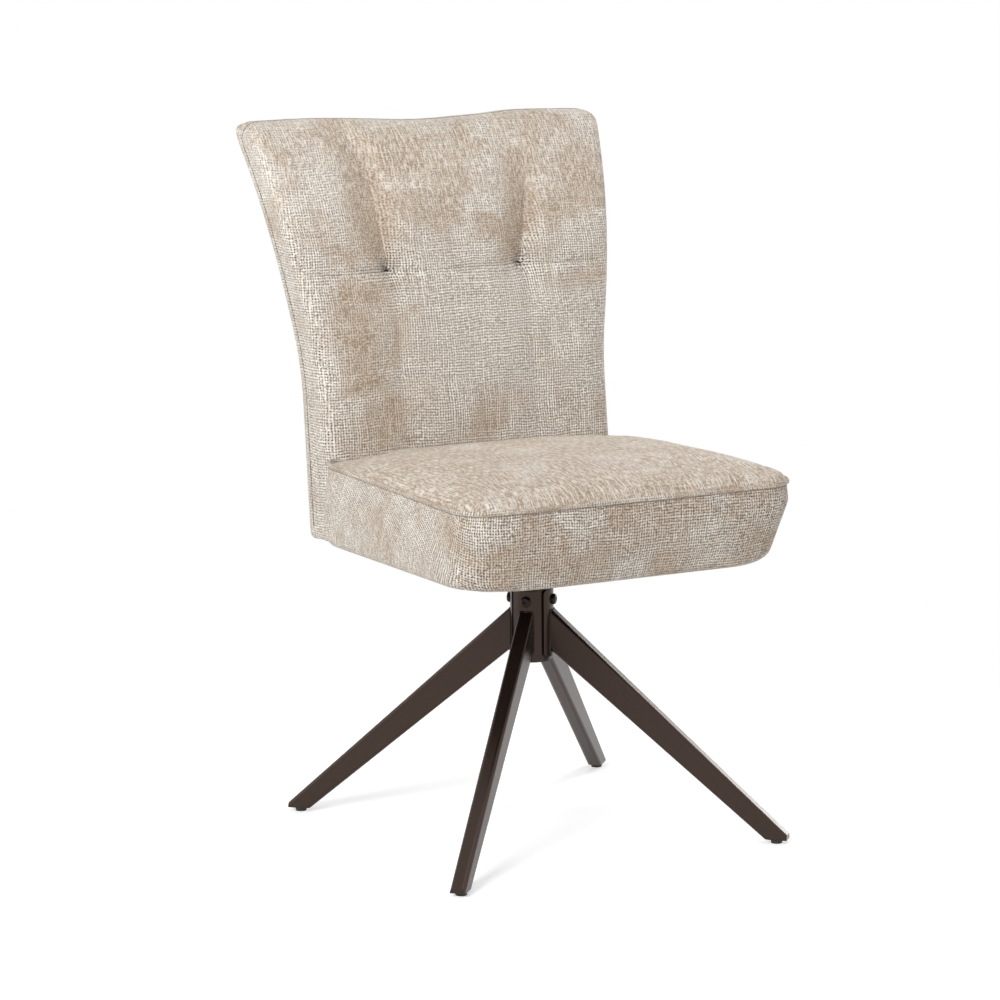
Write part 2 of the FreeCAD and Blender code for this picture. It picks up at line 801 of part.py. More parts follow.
def strap_heights():
    """Heights of the webbing straps: even steps, with one strap at the tufts."""
    step = (tuft_height - seat_bottom - frame_bottom_rail) / (strap_tuft_index + 0.5)
    return [tuft_height + step * (index - strap_tuft_index) for index in range(strap_count)]


def make_webbing(tie_space):
    """Elastic straps across the frame's window, on its front face."""
    straps = []
    for height in strap_heights():
        half = back_side(height) - frame_side_inset - frame_rail + strap_overlap
        strap = Part.makeBox(2 * half, strap_thickness, strap_height,
                             Vector(-half, -strap_thickness, -strap_height / 2))
        strap.rotate(centre, across, -lean_at(height))
        front = back_rear(height) - frame_rear_inset - frame_thickness - soft_clearance
        strap.translate(Vector(0, front, height))
        for space in tie_space:
            strap = strap.cut(space)
        straps.append(strap)
    return Part.makeCompound(straps)


def tuft_balls(grow):
    """Balls that press the two tufts into the back's front."""
    depth = tuft_ball_radius - tuft_depth
    y = back_front(tuft_height) - depth
    return [Part.makeSphere(tuft_ball_radius + grow, Vector(side * tuft_x, y, tuft_height))
            for side in (-1, 1)]


def tuft_ties(radius, front_gap):
    """Ties from the tufts' deepest points through the foam and the webbing."""
    front = back_front(tuft_height) + tuft_depth + front_gap
    toggle_y = back_rear(tuft_height) - frame_rear_inset - frame_thickness + 2 * toggle_radius
    length = toggle_y - toggle_radius - front - seat_clearance
    tie = Part.makeCylinder(radius, length, Vector(0, 0, 0), Vector(0, 1, 0))
    return [tie.translated(Vector(side * tuft_x, front, tuft_height)) for side in (-1, 1)]


def make_toggles():
    """Bars behind the webbing that hold the ties."""
    y = back_rear(tuft_height) - frame_rear_inset - frame_thickness + 2 * toggle_radius
    bar = Part.makeCylinder(toggle_radius, toggle_length, Vector(-toggle_length / 2, 0, 0), across)
    bars = [bar.translated(Vector(side * tuft_x, y, tuft_height)) for side in (-1, 1)]
    return Part.makeCompound(bars)


def make_back_soft(spaces):
    """Foam in front of the frame and round its sides, and wadding behind it."""
    inner = ruled_loft(back_wires(cover_thickness + soft_clearance))
    for ball in tuft_balls(cover_thickness + soft_clearance):
        inner = inner.cut(ball)
    side = frame_side_inset - soft_clearance
    low = seat_bottom
    zone_top = back_top - frame_top_inset + soft_clearance
    zone = bent_profile(frame_rear_inset + frame_thickness + strap_space, 0.0, low, zone_top)
    foam = inner.cut(zone.common(outline_prism(side, low, zone_top)))
    behind = bent_profile(frame_rear_inset - soft_clearance, 0.0, low, zone_top)
    wadding = inner.common(behind.common(outline_prism(frame_side_inset, low, zone_top)))
    for shape in spaces:
        foam = foam.cut(shape)
        wadding = wadding.cut(shape)
    return foam, wadding


def make_back_cover(tie_space):
    """Front panel with the sides, and rear panel."""
    outer = ruled_loft(back_wires(0.0))
    inner = ruled_loft(back_wires(cover_thickness))
    for ball in tuft_balls(0.0):
        outer = outer.cut(ball)
    for ball in tuft_balls(cover_thickness):
        inner = inner.cut(ball)
    skin = outer.cut(inner)
    rear_zone = bent_profile(back_rear_corner, -back_rear_corner, seat_bottom - 1.0,
                             back_top - back_top_round)
    front = skin.cut(rear_zone)
    rear = skin.common(rear_zone)
    for shape in tie_space:
        front = front.cut(shape)
    return front, rear


# Brackets between seat and back


def angle_solid(side, grow):
    """Bent flat bar: one leg under the seat board, one up the back frame's front face."""
    bottom = seat_bottom
    thickness = angle_thickness
    lean = math.radians(back_rear_slope)
    offset = frame_rear_inset + frame_thickness + soft_clearance

    def face_at(height):
        return back_rear(height) - offset

    square = thickness / math.cos(lean)
    profile = [
        Vector(0, angle_seat_reach - grow, bottom),
        Vector(0, face_at(bottom) + grow, bottom),
        Vector(0, face_at(angle_upper_end) + grow, angle_upper_end + grow),
        Vector(0, face_at(angle_upper_end) - square - grow, angle_upper_end + grow),
        Vector(0, face_at(bottom + thickness) - square - grow, bottom + thickness + grow),
        Vector(0, angle_seat_reach - grow, bottom + thickness + grow),
    ]
    face = Part.Face(Part.makePolygon(profile + profile[:1]))
    half = angle_width / 2 + grow
    face.translate(Vector(side * angle_x - half, 0, 0))
    return face.extrude(Vector(2 * half, 0, 0))


def angle_screw_places(side):
    """Where the bracket's screws sit and which way their heads point."""
    places = []
    for reach in angle_seat_screws:
        places.append((Vector(side * angle_x, angle_seat_reach + reach, seat_bottom), -up))
    lean = math.radians(back_rear_slope)
    for rise in angle_back_screws:
        height = seat_bottom + rise
        offset = frame_rear_inset + frame_thickness + soft_clearance
        y = back_rear(height) - offset - angle_thickness / math.cos(lean)
        out = Vector(0, -math.cos(lean), math.sin(lean))
        places.append((Vector(side * angle_x, y, height), out))
    return places


def placed(shape, place):
    """A shape made along +Z, moved to a place's point and direction."""
    point, direction = place
    return on_axis(shape, point.x, point.y, point.z, direction)


def make_angle_fixings():
    """Screws and tee nuts of the back brackets, their holes, and the room that they take."""
    seat_grip = board_thickness
    back_grip = angle_thickness + soft_clearance + frame_thickness
    screws = []
    nuts = []
    holes = []
    rooms = []
    for side in (-1, 1):
        for place in angle_screw_places(side):
            grip = seat_grip if place[1].z < -0.5 else back_grip
            screw = button_screw(angle_screw_radius, grip, angle_screw_head_radius,
                                 angle_screw_head_height, angle_screw_head_height / 2)
            barrel = rod(angle_screw_radius + tee_barrel_wall, -grip, -grip * small_barrel_space)
            flange = rod(small_tee_radius, -grip - tee_flange_thickness, -grip)
            bore = rod(angle_screw_radius + seat_clearance, -2 * grip, grip)
            nut = fused([barrel, flange]).cut(bore)
            hole = rod(angle_screw_radius + tee_barrel_wall + seat_clearance, -grip, 1.0)
            head_room = rod(angle_screw_head_radius + soft_clearance, 0,
                            angle_screw_head_height + soft_clearance)
            nut_room = rod(small_tee_radius + soft_clearance,
                           -grip - tee_flange_thickness - soft_clearance, -grip)
            screws.append(placed(screw, place))
            nuts.append(placed(nut, place))
            holes.append(placed(hole, place))
            rooms.append(placed(head_room, place))
            rooms.append(placed(nut_room, place))
    return screws, nuts, holes, rooms


# Seat plate


def plate_bolt_places():
    """Centres of the seat plate's four bolts."""
    half = plate_bolt_spacing / 2
    return [Vector(x, y, 0) for x in (-half, half) for y in (-half, half)]


def make_plate_fixings():
    """Bolts, washers and tee nuts of the seat plate, and the tee nuts' room in what is above."""
    tip = board_top + tee_flange_thickness
    washer_bottom = plate_bottom - plate_washer_thickness
    shank = rod(plate_bolt_radius, washer_bottom, tip)
    head = rod(plate_bolt_head_radius, washer_bottom - plate_bolt_head_height, washer_bottom)
    bolt = fused([shank, head])
    bolt = bolt.cut(hexagon(screw_socket_across, washer_bottom - plate_bolt_head_height,
                            washer_bottom - plate_bolt_head_height + screw_socket_depth))
    washer = ring(plate_washer_radius, plate_bolt_radius + bolt_clearance, washer_bottom, plate_bottom)
    barrel = rod(plate_bolt_radius + tee_barrel_wall, seat_bottom + tee_barrel_start, board_top)
    flange = rod(tee_flange_radius, board_top, tip)
    nut = fused([barrel, flange]).cut(rod(plate_bolt_radius + seat_clearance, seat_bottom, tip))
    room = rod(tee_flange_radius + soft_clearance, board_top, tip + soft_clearance)
    hole = rod(plate_bolt_radius + tee_barrel_wall + seat_clearance, seat_bottom, board_top)
    shapes = []
    for shape in (bolt, washer, nut, room, hole):
        shapes.append([shape.translated(place) for place in plate_bolt_places()])
    return shapes


def make_seat_plate():
    """Steel plate under the seat board, welded on the spindle."""
    plate = rounded_box(plate_half, plate_half, plate_corner, plate_bottom,
                        plate_bottom + plate_thickness)
    for place in plate_bolt_places():
        hole = rod(plate_bolt_radius + bolt_clearance, plate_bottom, seat_bottom)
        plate = plate.cut(hole.translated(place))
    return plate


# Underside


def make_cloth(angle_rooms):
    """Dust cloth under the seat board and the back's lower end."""
    half = seat_half_width - seat_side_taper - seat_bottom_round - cloth_margin
    front = seat_front + seat_front_taper + seat_bottom_round + cloth_margin
    rear = back_rear(seat_bottom) - cloth_margin
    wire = section(half, front, rear, seat_bottom_corner - cloth_margin, cloth_margin,
                   seat_bottom - cloth_thickness)
    cloth = Part.Face(wire).extrude(Vector(0, 0, cloth_thickness))
    for place in plate_bolt_places():
        hole = rod(plate_bolt_radius + bolt_clearance, plate_bottom, seat_bottom)
        cloth = cloth.cut(hole.translated(place))
    for shape in angle_rooms:
        cloth = cloth.cut(shape)
    return cloth


def make_staples():
    """Staples along the cloth's two sides and its front."""
    half = seat_half_width - seat_side_taper - seat_bottom_round - staple_margin
    front = seat_front + seat_front_taper + seat_bottom_round + staple_margin
    bottom = seat_bottom - cloth_thickness - staple_thickness
    straight = seat_bottom_corner
    rear = back_front(seat_bottom) - cloth_margin
    staples = []
    for index in range(staples_per_side):
        share = index / (staples_per_side - 1)
        x = (2 * share - 1) * (half - straight)
        y = front + straight + (rear - front - straight) * share
        lying = Part.makeBox(staple_length, staple_width, staple_thickness,
                             Vector(x - staple_length / 2, front, bottom))
        staples.append(lying)
        for side in (-1, 1):
            standing = Part.makeBox(staple_width, staple_length, staple_thickness,
                                    Vector(side * half - staple_width / 2, y - staple_length, bottom))
            staples.append(standing)
    return Part.makeCompound(staples)


def build():
    """Every node of the chair, by name."""
    nodes = {}
    nodes["column_tube"], nodes["column_end_cap"] = make_column()
    nodes["upper_bush"] = make_bush(column_top - bush_length)
    nodes["lower_bush"] = make_bush(lower_bush_bottom)
    bearing = make_bearing()
    nodes["thrust_race_lower"], nodes["thrust_cage"], nodes["thrust_balls"] = bearing[:3]
    nodes["thrust_race_upper"] = bearing[3]

    leg = make_leg()
    foot_plate = make_foot_plate()
    bracket = make_bracket()
    glide = make_glide()
    screw = make_leg_screw()
    stud = make_stud()
    for name, angle in leg_angles.items():
        nodes["leg_" + name] = turned(leg, angle)
        nodes["foot_plate_" + name] = turned(foot_plate, angle)
        nodes["leg_bracket_" + name] = turned(bracket, angle)
        nodes["glide_" + name] = turned(glide, angle)
    nodes["leg_screws"] = Part.makeCompound([turned(screw, angle) for angle in leg_angles.values()])
    nodes["glide_studs"] = Part.makeCompound([turned(stud, angle) for angle in leg_angles.values()])

    nodes["spindle"], nodes["retaining_washer"], nodes["circlip"] = make_spindle()
    nodes["neck_collar"] = make_collar()
    nodes["seat_plate"] = make_seat_plate()
    bolts, washers, nuts, nut_rooms, nut_holes = make_plate_fixings()
    nodes["plate_bolts"] = Part.makeCompound(bolts)
    nodes["plate_washers"] = Part.makeCompound(washers)
    nodes["plate_tee_nuts"] = Part.makeCompound(nuts)

    angle_rooms = [angle_solid(side, angle_clearance) for side in (-1, 1)]
    screws, small_nuts, screw_holes, screw_rooms = make_angle_fixings()
    for name, side in (("left", -1), ("right", 1)):
        angle = angle_solid(side, 0.0)
        for place in angle_screw_places(side):
            hole = rod(angle_screw_radius + bolt_clearance, -2 * angle_thickness, 1.0)
            angle = angle.cut(placed(hole, place))
        nodes["back_bracket_" + name] = angle
    nodes["bracket_screws"] = Part.makeCompound(screws)
    nodes["bracket_tee_nuts"] = Part.makeCompound(small_nuts)

    rooms = angle_rooms + screw_rooms
    nodes["seat_board"] = make_seat_board(angle_rooms + screw_holes + nut_holes)
    unit = make_spring_unit(nut_rooms + screw_rooms)
    nodes["spring_base_sheet"], nodes["spring_pockets"], nodes["pocket_springs"] = unit[:3]
    nodes["spring_top_sheet"] = unit[3]
    foam = make_seat_foam(unit[4], nut_rooms + rooms)
    nodes["seat_foam_surround"], nodes["seat_foam_topper"] = foam
    nodes["seat_cover_sides"], nodes["seat_cover_top"] = make_seat_cover(angle_rooms)
    nodes["seat_piping"] = welt_rod(piping_radius)
    nodes["underside_cloth"] = make_cloth(screw_rooms)
    nodes["cloth_staples"] = make_staples()

    tie_space = tuft_ties(tie_radius + seat_clearance, -tie_hole_ahead)
    nodes["back_frame"] = make_back_frame(screw_holes)
    nodes["back_webbing"] = make_webbing(tie_space)
    nodes["back_foam"], nodes["back_wadding"] = make_back_soft(rooms + tie_space)
    cover_front, cover_rear = make_back_cover(tie_space)
    for shape in angle_rooms:
        cover_front = cover_front.cut(shape)
    nodes["back_cover_front"] = cover_front
    nodes["back_cover_rear"] = cover_rear
    nodes["tuft_ties"] = Part.makeCompound(tuft_ties(tie_radius, 0.0))
    nodes["tuft_toggles"] = make_toggles()
    return nodes


def main():
    """Builds the chair, puts its origin under the middle of its box and writes a file per node."""
    os.makedirs("parts", exist_ok=True)
    nodes = build()
    box = Part.makeCompound(list(nodes.values())).optimalBoundingBox(False)
    shift = Vector(0, -(box.YMin + box.YMax) / 2, 0)
    print("origin is %.3f mm behind the swivel axis" % -shift.y)
    print("size %.2f x %.2f x %.2f mm" % (box.XLength, box.YLength, box.ZLength))
    for name, shape in nodes.items():
        shape.translated(shift).exportStep("parts/%s.step" % name)


main()
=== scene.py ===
"""Dresses the swivel dining chair: cushions, welt, seams, welds, cloth and every finish."""

import json
import logging
import math
from dataclasses import dataclass
from enum import IntEnum

import bpy
import numpy as np
from mathutils import Matrix, Vector
from mathutils.bvhtree import BVHTree

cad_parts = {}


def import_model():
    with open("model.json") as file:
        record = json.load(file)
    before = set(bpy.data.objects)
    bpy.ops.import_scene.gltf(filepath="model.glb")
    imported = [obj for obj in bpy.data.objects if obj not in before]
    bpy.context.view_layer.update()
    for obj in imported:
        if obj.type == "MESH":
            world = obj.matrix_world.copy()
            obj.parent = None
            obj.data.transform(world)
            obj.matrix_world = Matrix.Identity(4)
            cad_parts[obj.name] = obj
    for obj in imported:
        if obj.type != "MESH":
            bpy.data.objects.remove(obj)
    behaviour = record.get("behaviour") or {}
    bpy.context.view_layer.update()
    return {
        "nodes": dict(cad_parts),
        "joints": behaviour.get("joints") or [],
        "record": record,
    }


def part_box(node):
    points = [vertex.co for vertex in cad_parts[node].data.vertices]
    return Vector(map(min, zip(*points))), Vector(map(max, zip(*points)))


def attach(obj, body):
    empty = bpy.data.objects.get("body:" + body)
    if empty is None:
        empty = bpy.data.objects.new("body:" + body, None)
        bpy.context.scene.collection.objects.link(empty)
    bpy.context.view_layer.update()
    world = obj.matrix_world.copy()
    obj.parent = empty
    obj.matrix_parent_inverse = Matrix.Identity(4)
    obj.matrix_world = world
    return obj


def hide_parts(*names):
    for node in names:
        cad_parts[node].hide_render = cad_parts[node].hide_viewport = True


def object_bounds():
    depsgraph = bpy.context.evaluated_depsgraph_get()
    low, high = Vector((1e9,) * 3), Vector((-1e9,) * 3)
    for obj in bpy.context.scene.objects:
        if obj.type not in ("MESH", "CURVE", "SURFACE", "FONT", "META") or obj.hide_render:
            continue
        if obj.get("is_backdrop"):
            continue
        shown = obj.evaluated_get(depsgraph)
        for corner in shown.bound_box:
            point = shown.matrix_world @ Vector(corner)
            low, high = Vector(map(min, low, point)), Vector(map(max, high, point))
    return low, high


LOG = logging.getLogger("chair")
MM = 0.001
WEAVE = "weave"
NAP = "nap"
BRUSH = "brush"
# The cloth simulation of both cushions' covers: its settings and its last frame.
COVER = {
    "quality": 4, "mass": 0.35, "tension_stiffness": 12, "compression_stiffness": 12,
    "shear_stiffness": 6, "bending_stiffness": 0.6, "use_pressure": True,
    "uniform_pressure_force": 3.0, "vertex_group_mass": "held"}
LAST_FRAME = 20
# Points of the welt's path that have no stitches, at each end.
WELT_ENDS = 60


def srgb(code: str) -> tuple[float, float, float, float]:
    """Turns an sRGB hex colour into linear red, green, blue and alpha.

    Args:
        code: Six hex digits with a leading hash.

    Returns:
        Four linear numbers from 0 to 1.
    """
    parts = [int(code[i : i + 2], 16) / 255 for i in (1, 3, 5)]
    linear = [p / 12.92 if p <= 0.04045 else ((p + 0.055) / 1.055) ** 2.4 for p in parts]
    return (linear[0], linear[1], linear[2], 1.0)


def feed(tree: bpy.types.NodeTree, node: bpy.types.Node, inputs: dict) -> None:
    """Sets or links a node's inputs.

    Args:
        tree: The node tree.
        node: The node.
        inputs: A value or an output socket for each input, by name or number.
    """
    for key, value in inputs.items():
        if isinstance(value, bpy.types.NodeSocket):
            tree.links.new(value, node.inputs[key])
        else:
            node.inputs[key].default_value = value


def add(tree: bpy.types.NodeTree, kind: str, inputs: dict, out: int | str = 0, **settings: object):
    """Adds one node with its settings and links.

    Args:
        tree: The node tree.
        kind: The node's type name.
        inputs: As feed() takes them.
        out: The output to give back, by name or number.
        **settings: The node's own settings.

    Returns:
        The chosen output socket, or the node itself if it has no outputs.
    """
    node = tree.nodes.new(kind)
    for name, value in settings.items():
        setattr(node, name, value)
    feed(tree, node, inputs)
    return node.outputs[out] if len(node.outputs) else node


def new_object(name: str, mesh: bpy.types.Mesh) -> bpy.types.Object:
    """Links a new object with this mesh, at the origin.

    Args:
        name: The piece's name.
        mesh: Its mesh.

    Returns:
        The new object.
    """
    obj = bpy.data.objects.new(name, mesh)
    bpy.context.scene.collection.objects.link(obj)
    return obj


def smooth_step(value: np.ndarray, low: float, high: float) -> np.ndarray:
    """Rises smoothly from 0 at low to 1 at high.

    Args:
        value: Where to look.
        low: Start of the rise.
        high: End of the rise.

    Returns:
        The share at each place.
    """
    share = np.clip((value - low) / (high - low), 0.0, 1.0)
    return share * share * (3 - 2 * share)


def bump(value: np.ndarray, width: float) -> np.ndarray:
    """Bell curve that is 1 at zero.

    Args:
        value: Distance from the middle.
        width: Distance at which it has fallen to 0.37.

    Returns:
        The height at each place.
    """
    return np.exp(-((value / width) ** 2))


def round_corner(x: np.ndarray, y: np.ndarray, half: np.ndarray | float, edge: np.ndarray | float,
                 inward: float, radius: np.ndarray | float) -> tuple[np.ndarray, np.ndarray]:
    """Moves the points near a rectangle's two corners on one edge onto rounded corners.

    Args:
        x: Places across, from minus half to half.
        y: Places along the depth.
        half: Half width.
        edge: Depth of the edge.
        inward: 1 where the rectangle lies beyond the edge and -1 where it lies before it.
        radius: Corner radius.

    Returns:
        The new x and y.
    """
    across = (np.abs(x) - (half - radius)) / radius
    along = (radius - inward * (y - edge)) / radius
    inside = (across > 0) & (along > 0)
    across = np.where(inside, across, 0)
    along = np.where(inside, along, 0)
    new_x = half - radius + radius * across * np.sqrt(1 - along**2 / 2)
    new_y = edge + inward * radius * (1 - along * np.sqrt(1 - across**2 / 2))
    return np.where(inside, np.sign(x) * new_x, x), np.where(inside, new_y, y)


class Side(IntEnum):
    """Sides of a box-shaped grid."""

    BOTTOM = 0
    TOP = 1
    FRONT = 2
    REAR = 3
    LEFT = 4
    RIGHT = 5


@dataclass
class BoxGrid:
    """Skin of a block of cells: points numbered along three axes, and quads that face outwards."""

    columns: int
    depths: int
    rows: int

    def build(self) -> tuple[np.ndarray, list, np.ndarray]:
        """Makes the grid.

        Returns:
            The points' numbers along each axis, the quads, and each quad's side.
        """
        index: dict[tuple[int, int, int], int] = {}
        quads: list[tuple[int, ...]] = []
        sides: list[int] = []

        def point(i: int, j: int, k: int) -> int:
            """Number of a grid point, new or known."""
            return index.setdefault((i, j, k), len(index))

        def quad(side: Side, corners: list[tuple[int, int, int]], flip: bool) -> None:
            """Adds one quad, turned round if asked."""
            made = [point(*c) for c in corners]
            quads.append(tuple(reversed(made)) if flip else tuple(made))
            sides.append(side)

        for i in range(self.columns):
            for k in range(self.rows):
                for side, j in ((Side.FRONT, 0), (Side.REAR, self.depths)):
                    ring = [(i, j, k), (i + 1, j, k), (i + 1, j, k + 1), (i, j, k + 1)]
                    quad(side, ring, side is Side.REAR)
            for j in range(self.depths):
                for side, k in ((Side.BOTTOM, 0), (Side.TOP, self.rows)):
                    ring = [(i, j, k), (i, j + 1, k), (i + 1, j + 1, k), (i + 1, j, k)]
                    quad(side, ring, side is Side.TOP)
        for j in range(self.depths):
            for k in range(self.rows):
                for side, i in ((Side.LEFT, 0), (Side.RIGHT, self.columns)):
                    ring = [(i, j + 1, k), (i, j, k), (i, j, k + 1), (i, j + 1, k + 1)]
                    quad(side, ring, side is Side.RIGHT)
        return np.array(list(index), int), quads, np.array(sides, int)


def quad_mesh(name: str, points: np.ndarray, quads: list,
              uv: np.ndarray | None) -> bpy.types.Object:
    """Makes a smooth-shaded object from points and quads.

    Args:
        name: The piece's name.
        points: Places in metres.
        quads: Corner numbers of each face.
        uv: Two numbers for each corner of each face, in metres along the cloth, or None.

    Returns:
        The new object.
    """
    mesh = bpy.data.meshes.new(name)
    mesh.from_pydata([tuple(p) for p in points], [], quads)
    if uv is not None:
        layer = mesh.uv_layers.new(name=WEAVE)
        layer.data.foreach_set("uv", uv.astype(np.float32).ravel())
    mesh.polygons.foreach_set("use_smooth", [True] * len(mesh.polygons))
    mesh.update()
    return new_object(name, mesh)


def point_value(obj: bpy.types.Object, name: str, values: np.ndarray) -> None:
    """Stores one number for each point of a piece.

    Args:
        obj: The piece.
        name: The attribute's name.
        values: The numbers.
    """
    attribute = obj.data.attributes.new(name, "FLOAT", "POINT")
    attribute.data.foreach_set("value", values.astype(np.float32))


def coordinates(obj: bpy.types.Object) -> np.ndarray:
    """Places of a piece's points."""
    flat = np.zeros(len(obj.data.vertices) * 3, np.float32)
    obj.data.vertices.foreach_get("co", flat)
    return flat.reshape(-1, 3).astype(float)


def swell(obj: bpy.types.Object, held: np.ndarray, most: float) -> None:
    """Blows a cushion's cover up with cloth simulation and keeps the result in its mesh.

    Args:
        obj: The cushion.
        held: For each point, 1 where seams and boards hold the cover and 0 where it is free.
        most: The most that a point may move, in metres.
    """
    before = coordinates(obj)
    group = obj.vertex_groups.new(name="held")
    for number, weight in enumerate(held):
        if weight > 0.01:
            group.add([number], float(weight), "REPLACE")
    cloth = obj.modifiers.new("swell", "CLOTH")
    for name, value in COVER.items():
        setattr(cloth.settings, name, value)
    cloth.settings.effector_weights.gravity = 0
    cloth.point_cache.frame_start = 1
    cloth.point_cache.frame_end = LAST_FRAME
    for step in range(1, LAST_FRAME + 1):
        bpy.context.scene.frame_set(step)
    evaluated = obj.evaluated_get(bpy.context.evaluated_depsgraph_get())
    move = coordinates(evaluated) - before
    length = np.linalg.norm(move, axis=1, keepdims=True)
    move *= np.minimum(1.0, most / np.maximum(length, 1e-9))
    obj.modifiers.remove(cloth)
    obj.vertex_groups.remove(group)
    bpy.context.scene.frame_set(1)
    after = before + move * (1 - np.clip(held, 0, 1))[:, None]
    obj.data.vertices.foreach_set("co", after.astype(np.float32).ravel())
    obj.data.update()
    LOG.info("%s would swell by up to %.1f mm, held to %.1f mm at most", obj.name,
             float(length.max()) / MM, most / MM)


def settle(paths: list[np.ndarray], obj: bpy.types.Object, out: float) -> list[np.ndarray]:
    """Lays paths on a piece's finished surface.

    Args:
        paths: Paths near the surface.
        obj: The piece.
        out: How far they stand proud.

    Returns:
        The paths on the surface.
    """
    skin = BVHTree.FromObject(obj, bpy.context.evaluated_depsgraph_get())
    laid = []
    for path in paths:
        found = [skin.find_nearest(Vector(point)) for point in path]
        laid.append(np.array([hit[0] + hit[1] * out for hit in found]))
    return laid


def subdivide(obj: bpy.types.Object) -> None:
    """Gives a piece one live level of subdivision, in views and renders alike."""
    modifier = obj.modifiers.new("smooth", "SUBSURF")
    modifier.levels = 1
    modifier.render_levels = 1


def dress(obj: bpy.types.Object, material: bpy.types.Material) -> None:
    """Gives a piece one material."""
    obj.data.materials.clear()
    obj.data.materials.append(material)


def ride(obj: bpy.types.Object, body: str, slot: str, *nodes: str) -> bpy.types.Object:
    """Lets a piece ride on a body and hides the solids that it stands for.

    Args:
        obj: The piece.
        body: The body's name.
        slot: The record's material slot; not used.
        *nodes: The solids that it replaces.

    Returns:
        The piece.
    """
    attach(obj, body)
    if nodes:
        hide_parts(*nodes)
    LOG.info("%s rides on %s, %d points", obj.name, body, len(obj.data.vertices))
    return obj


# Finishes


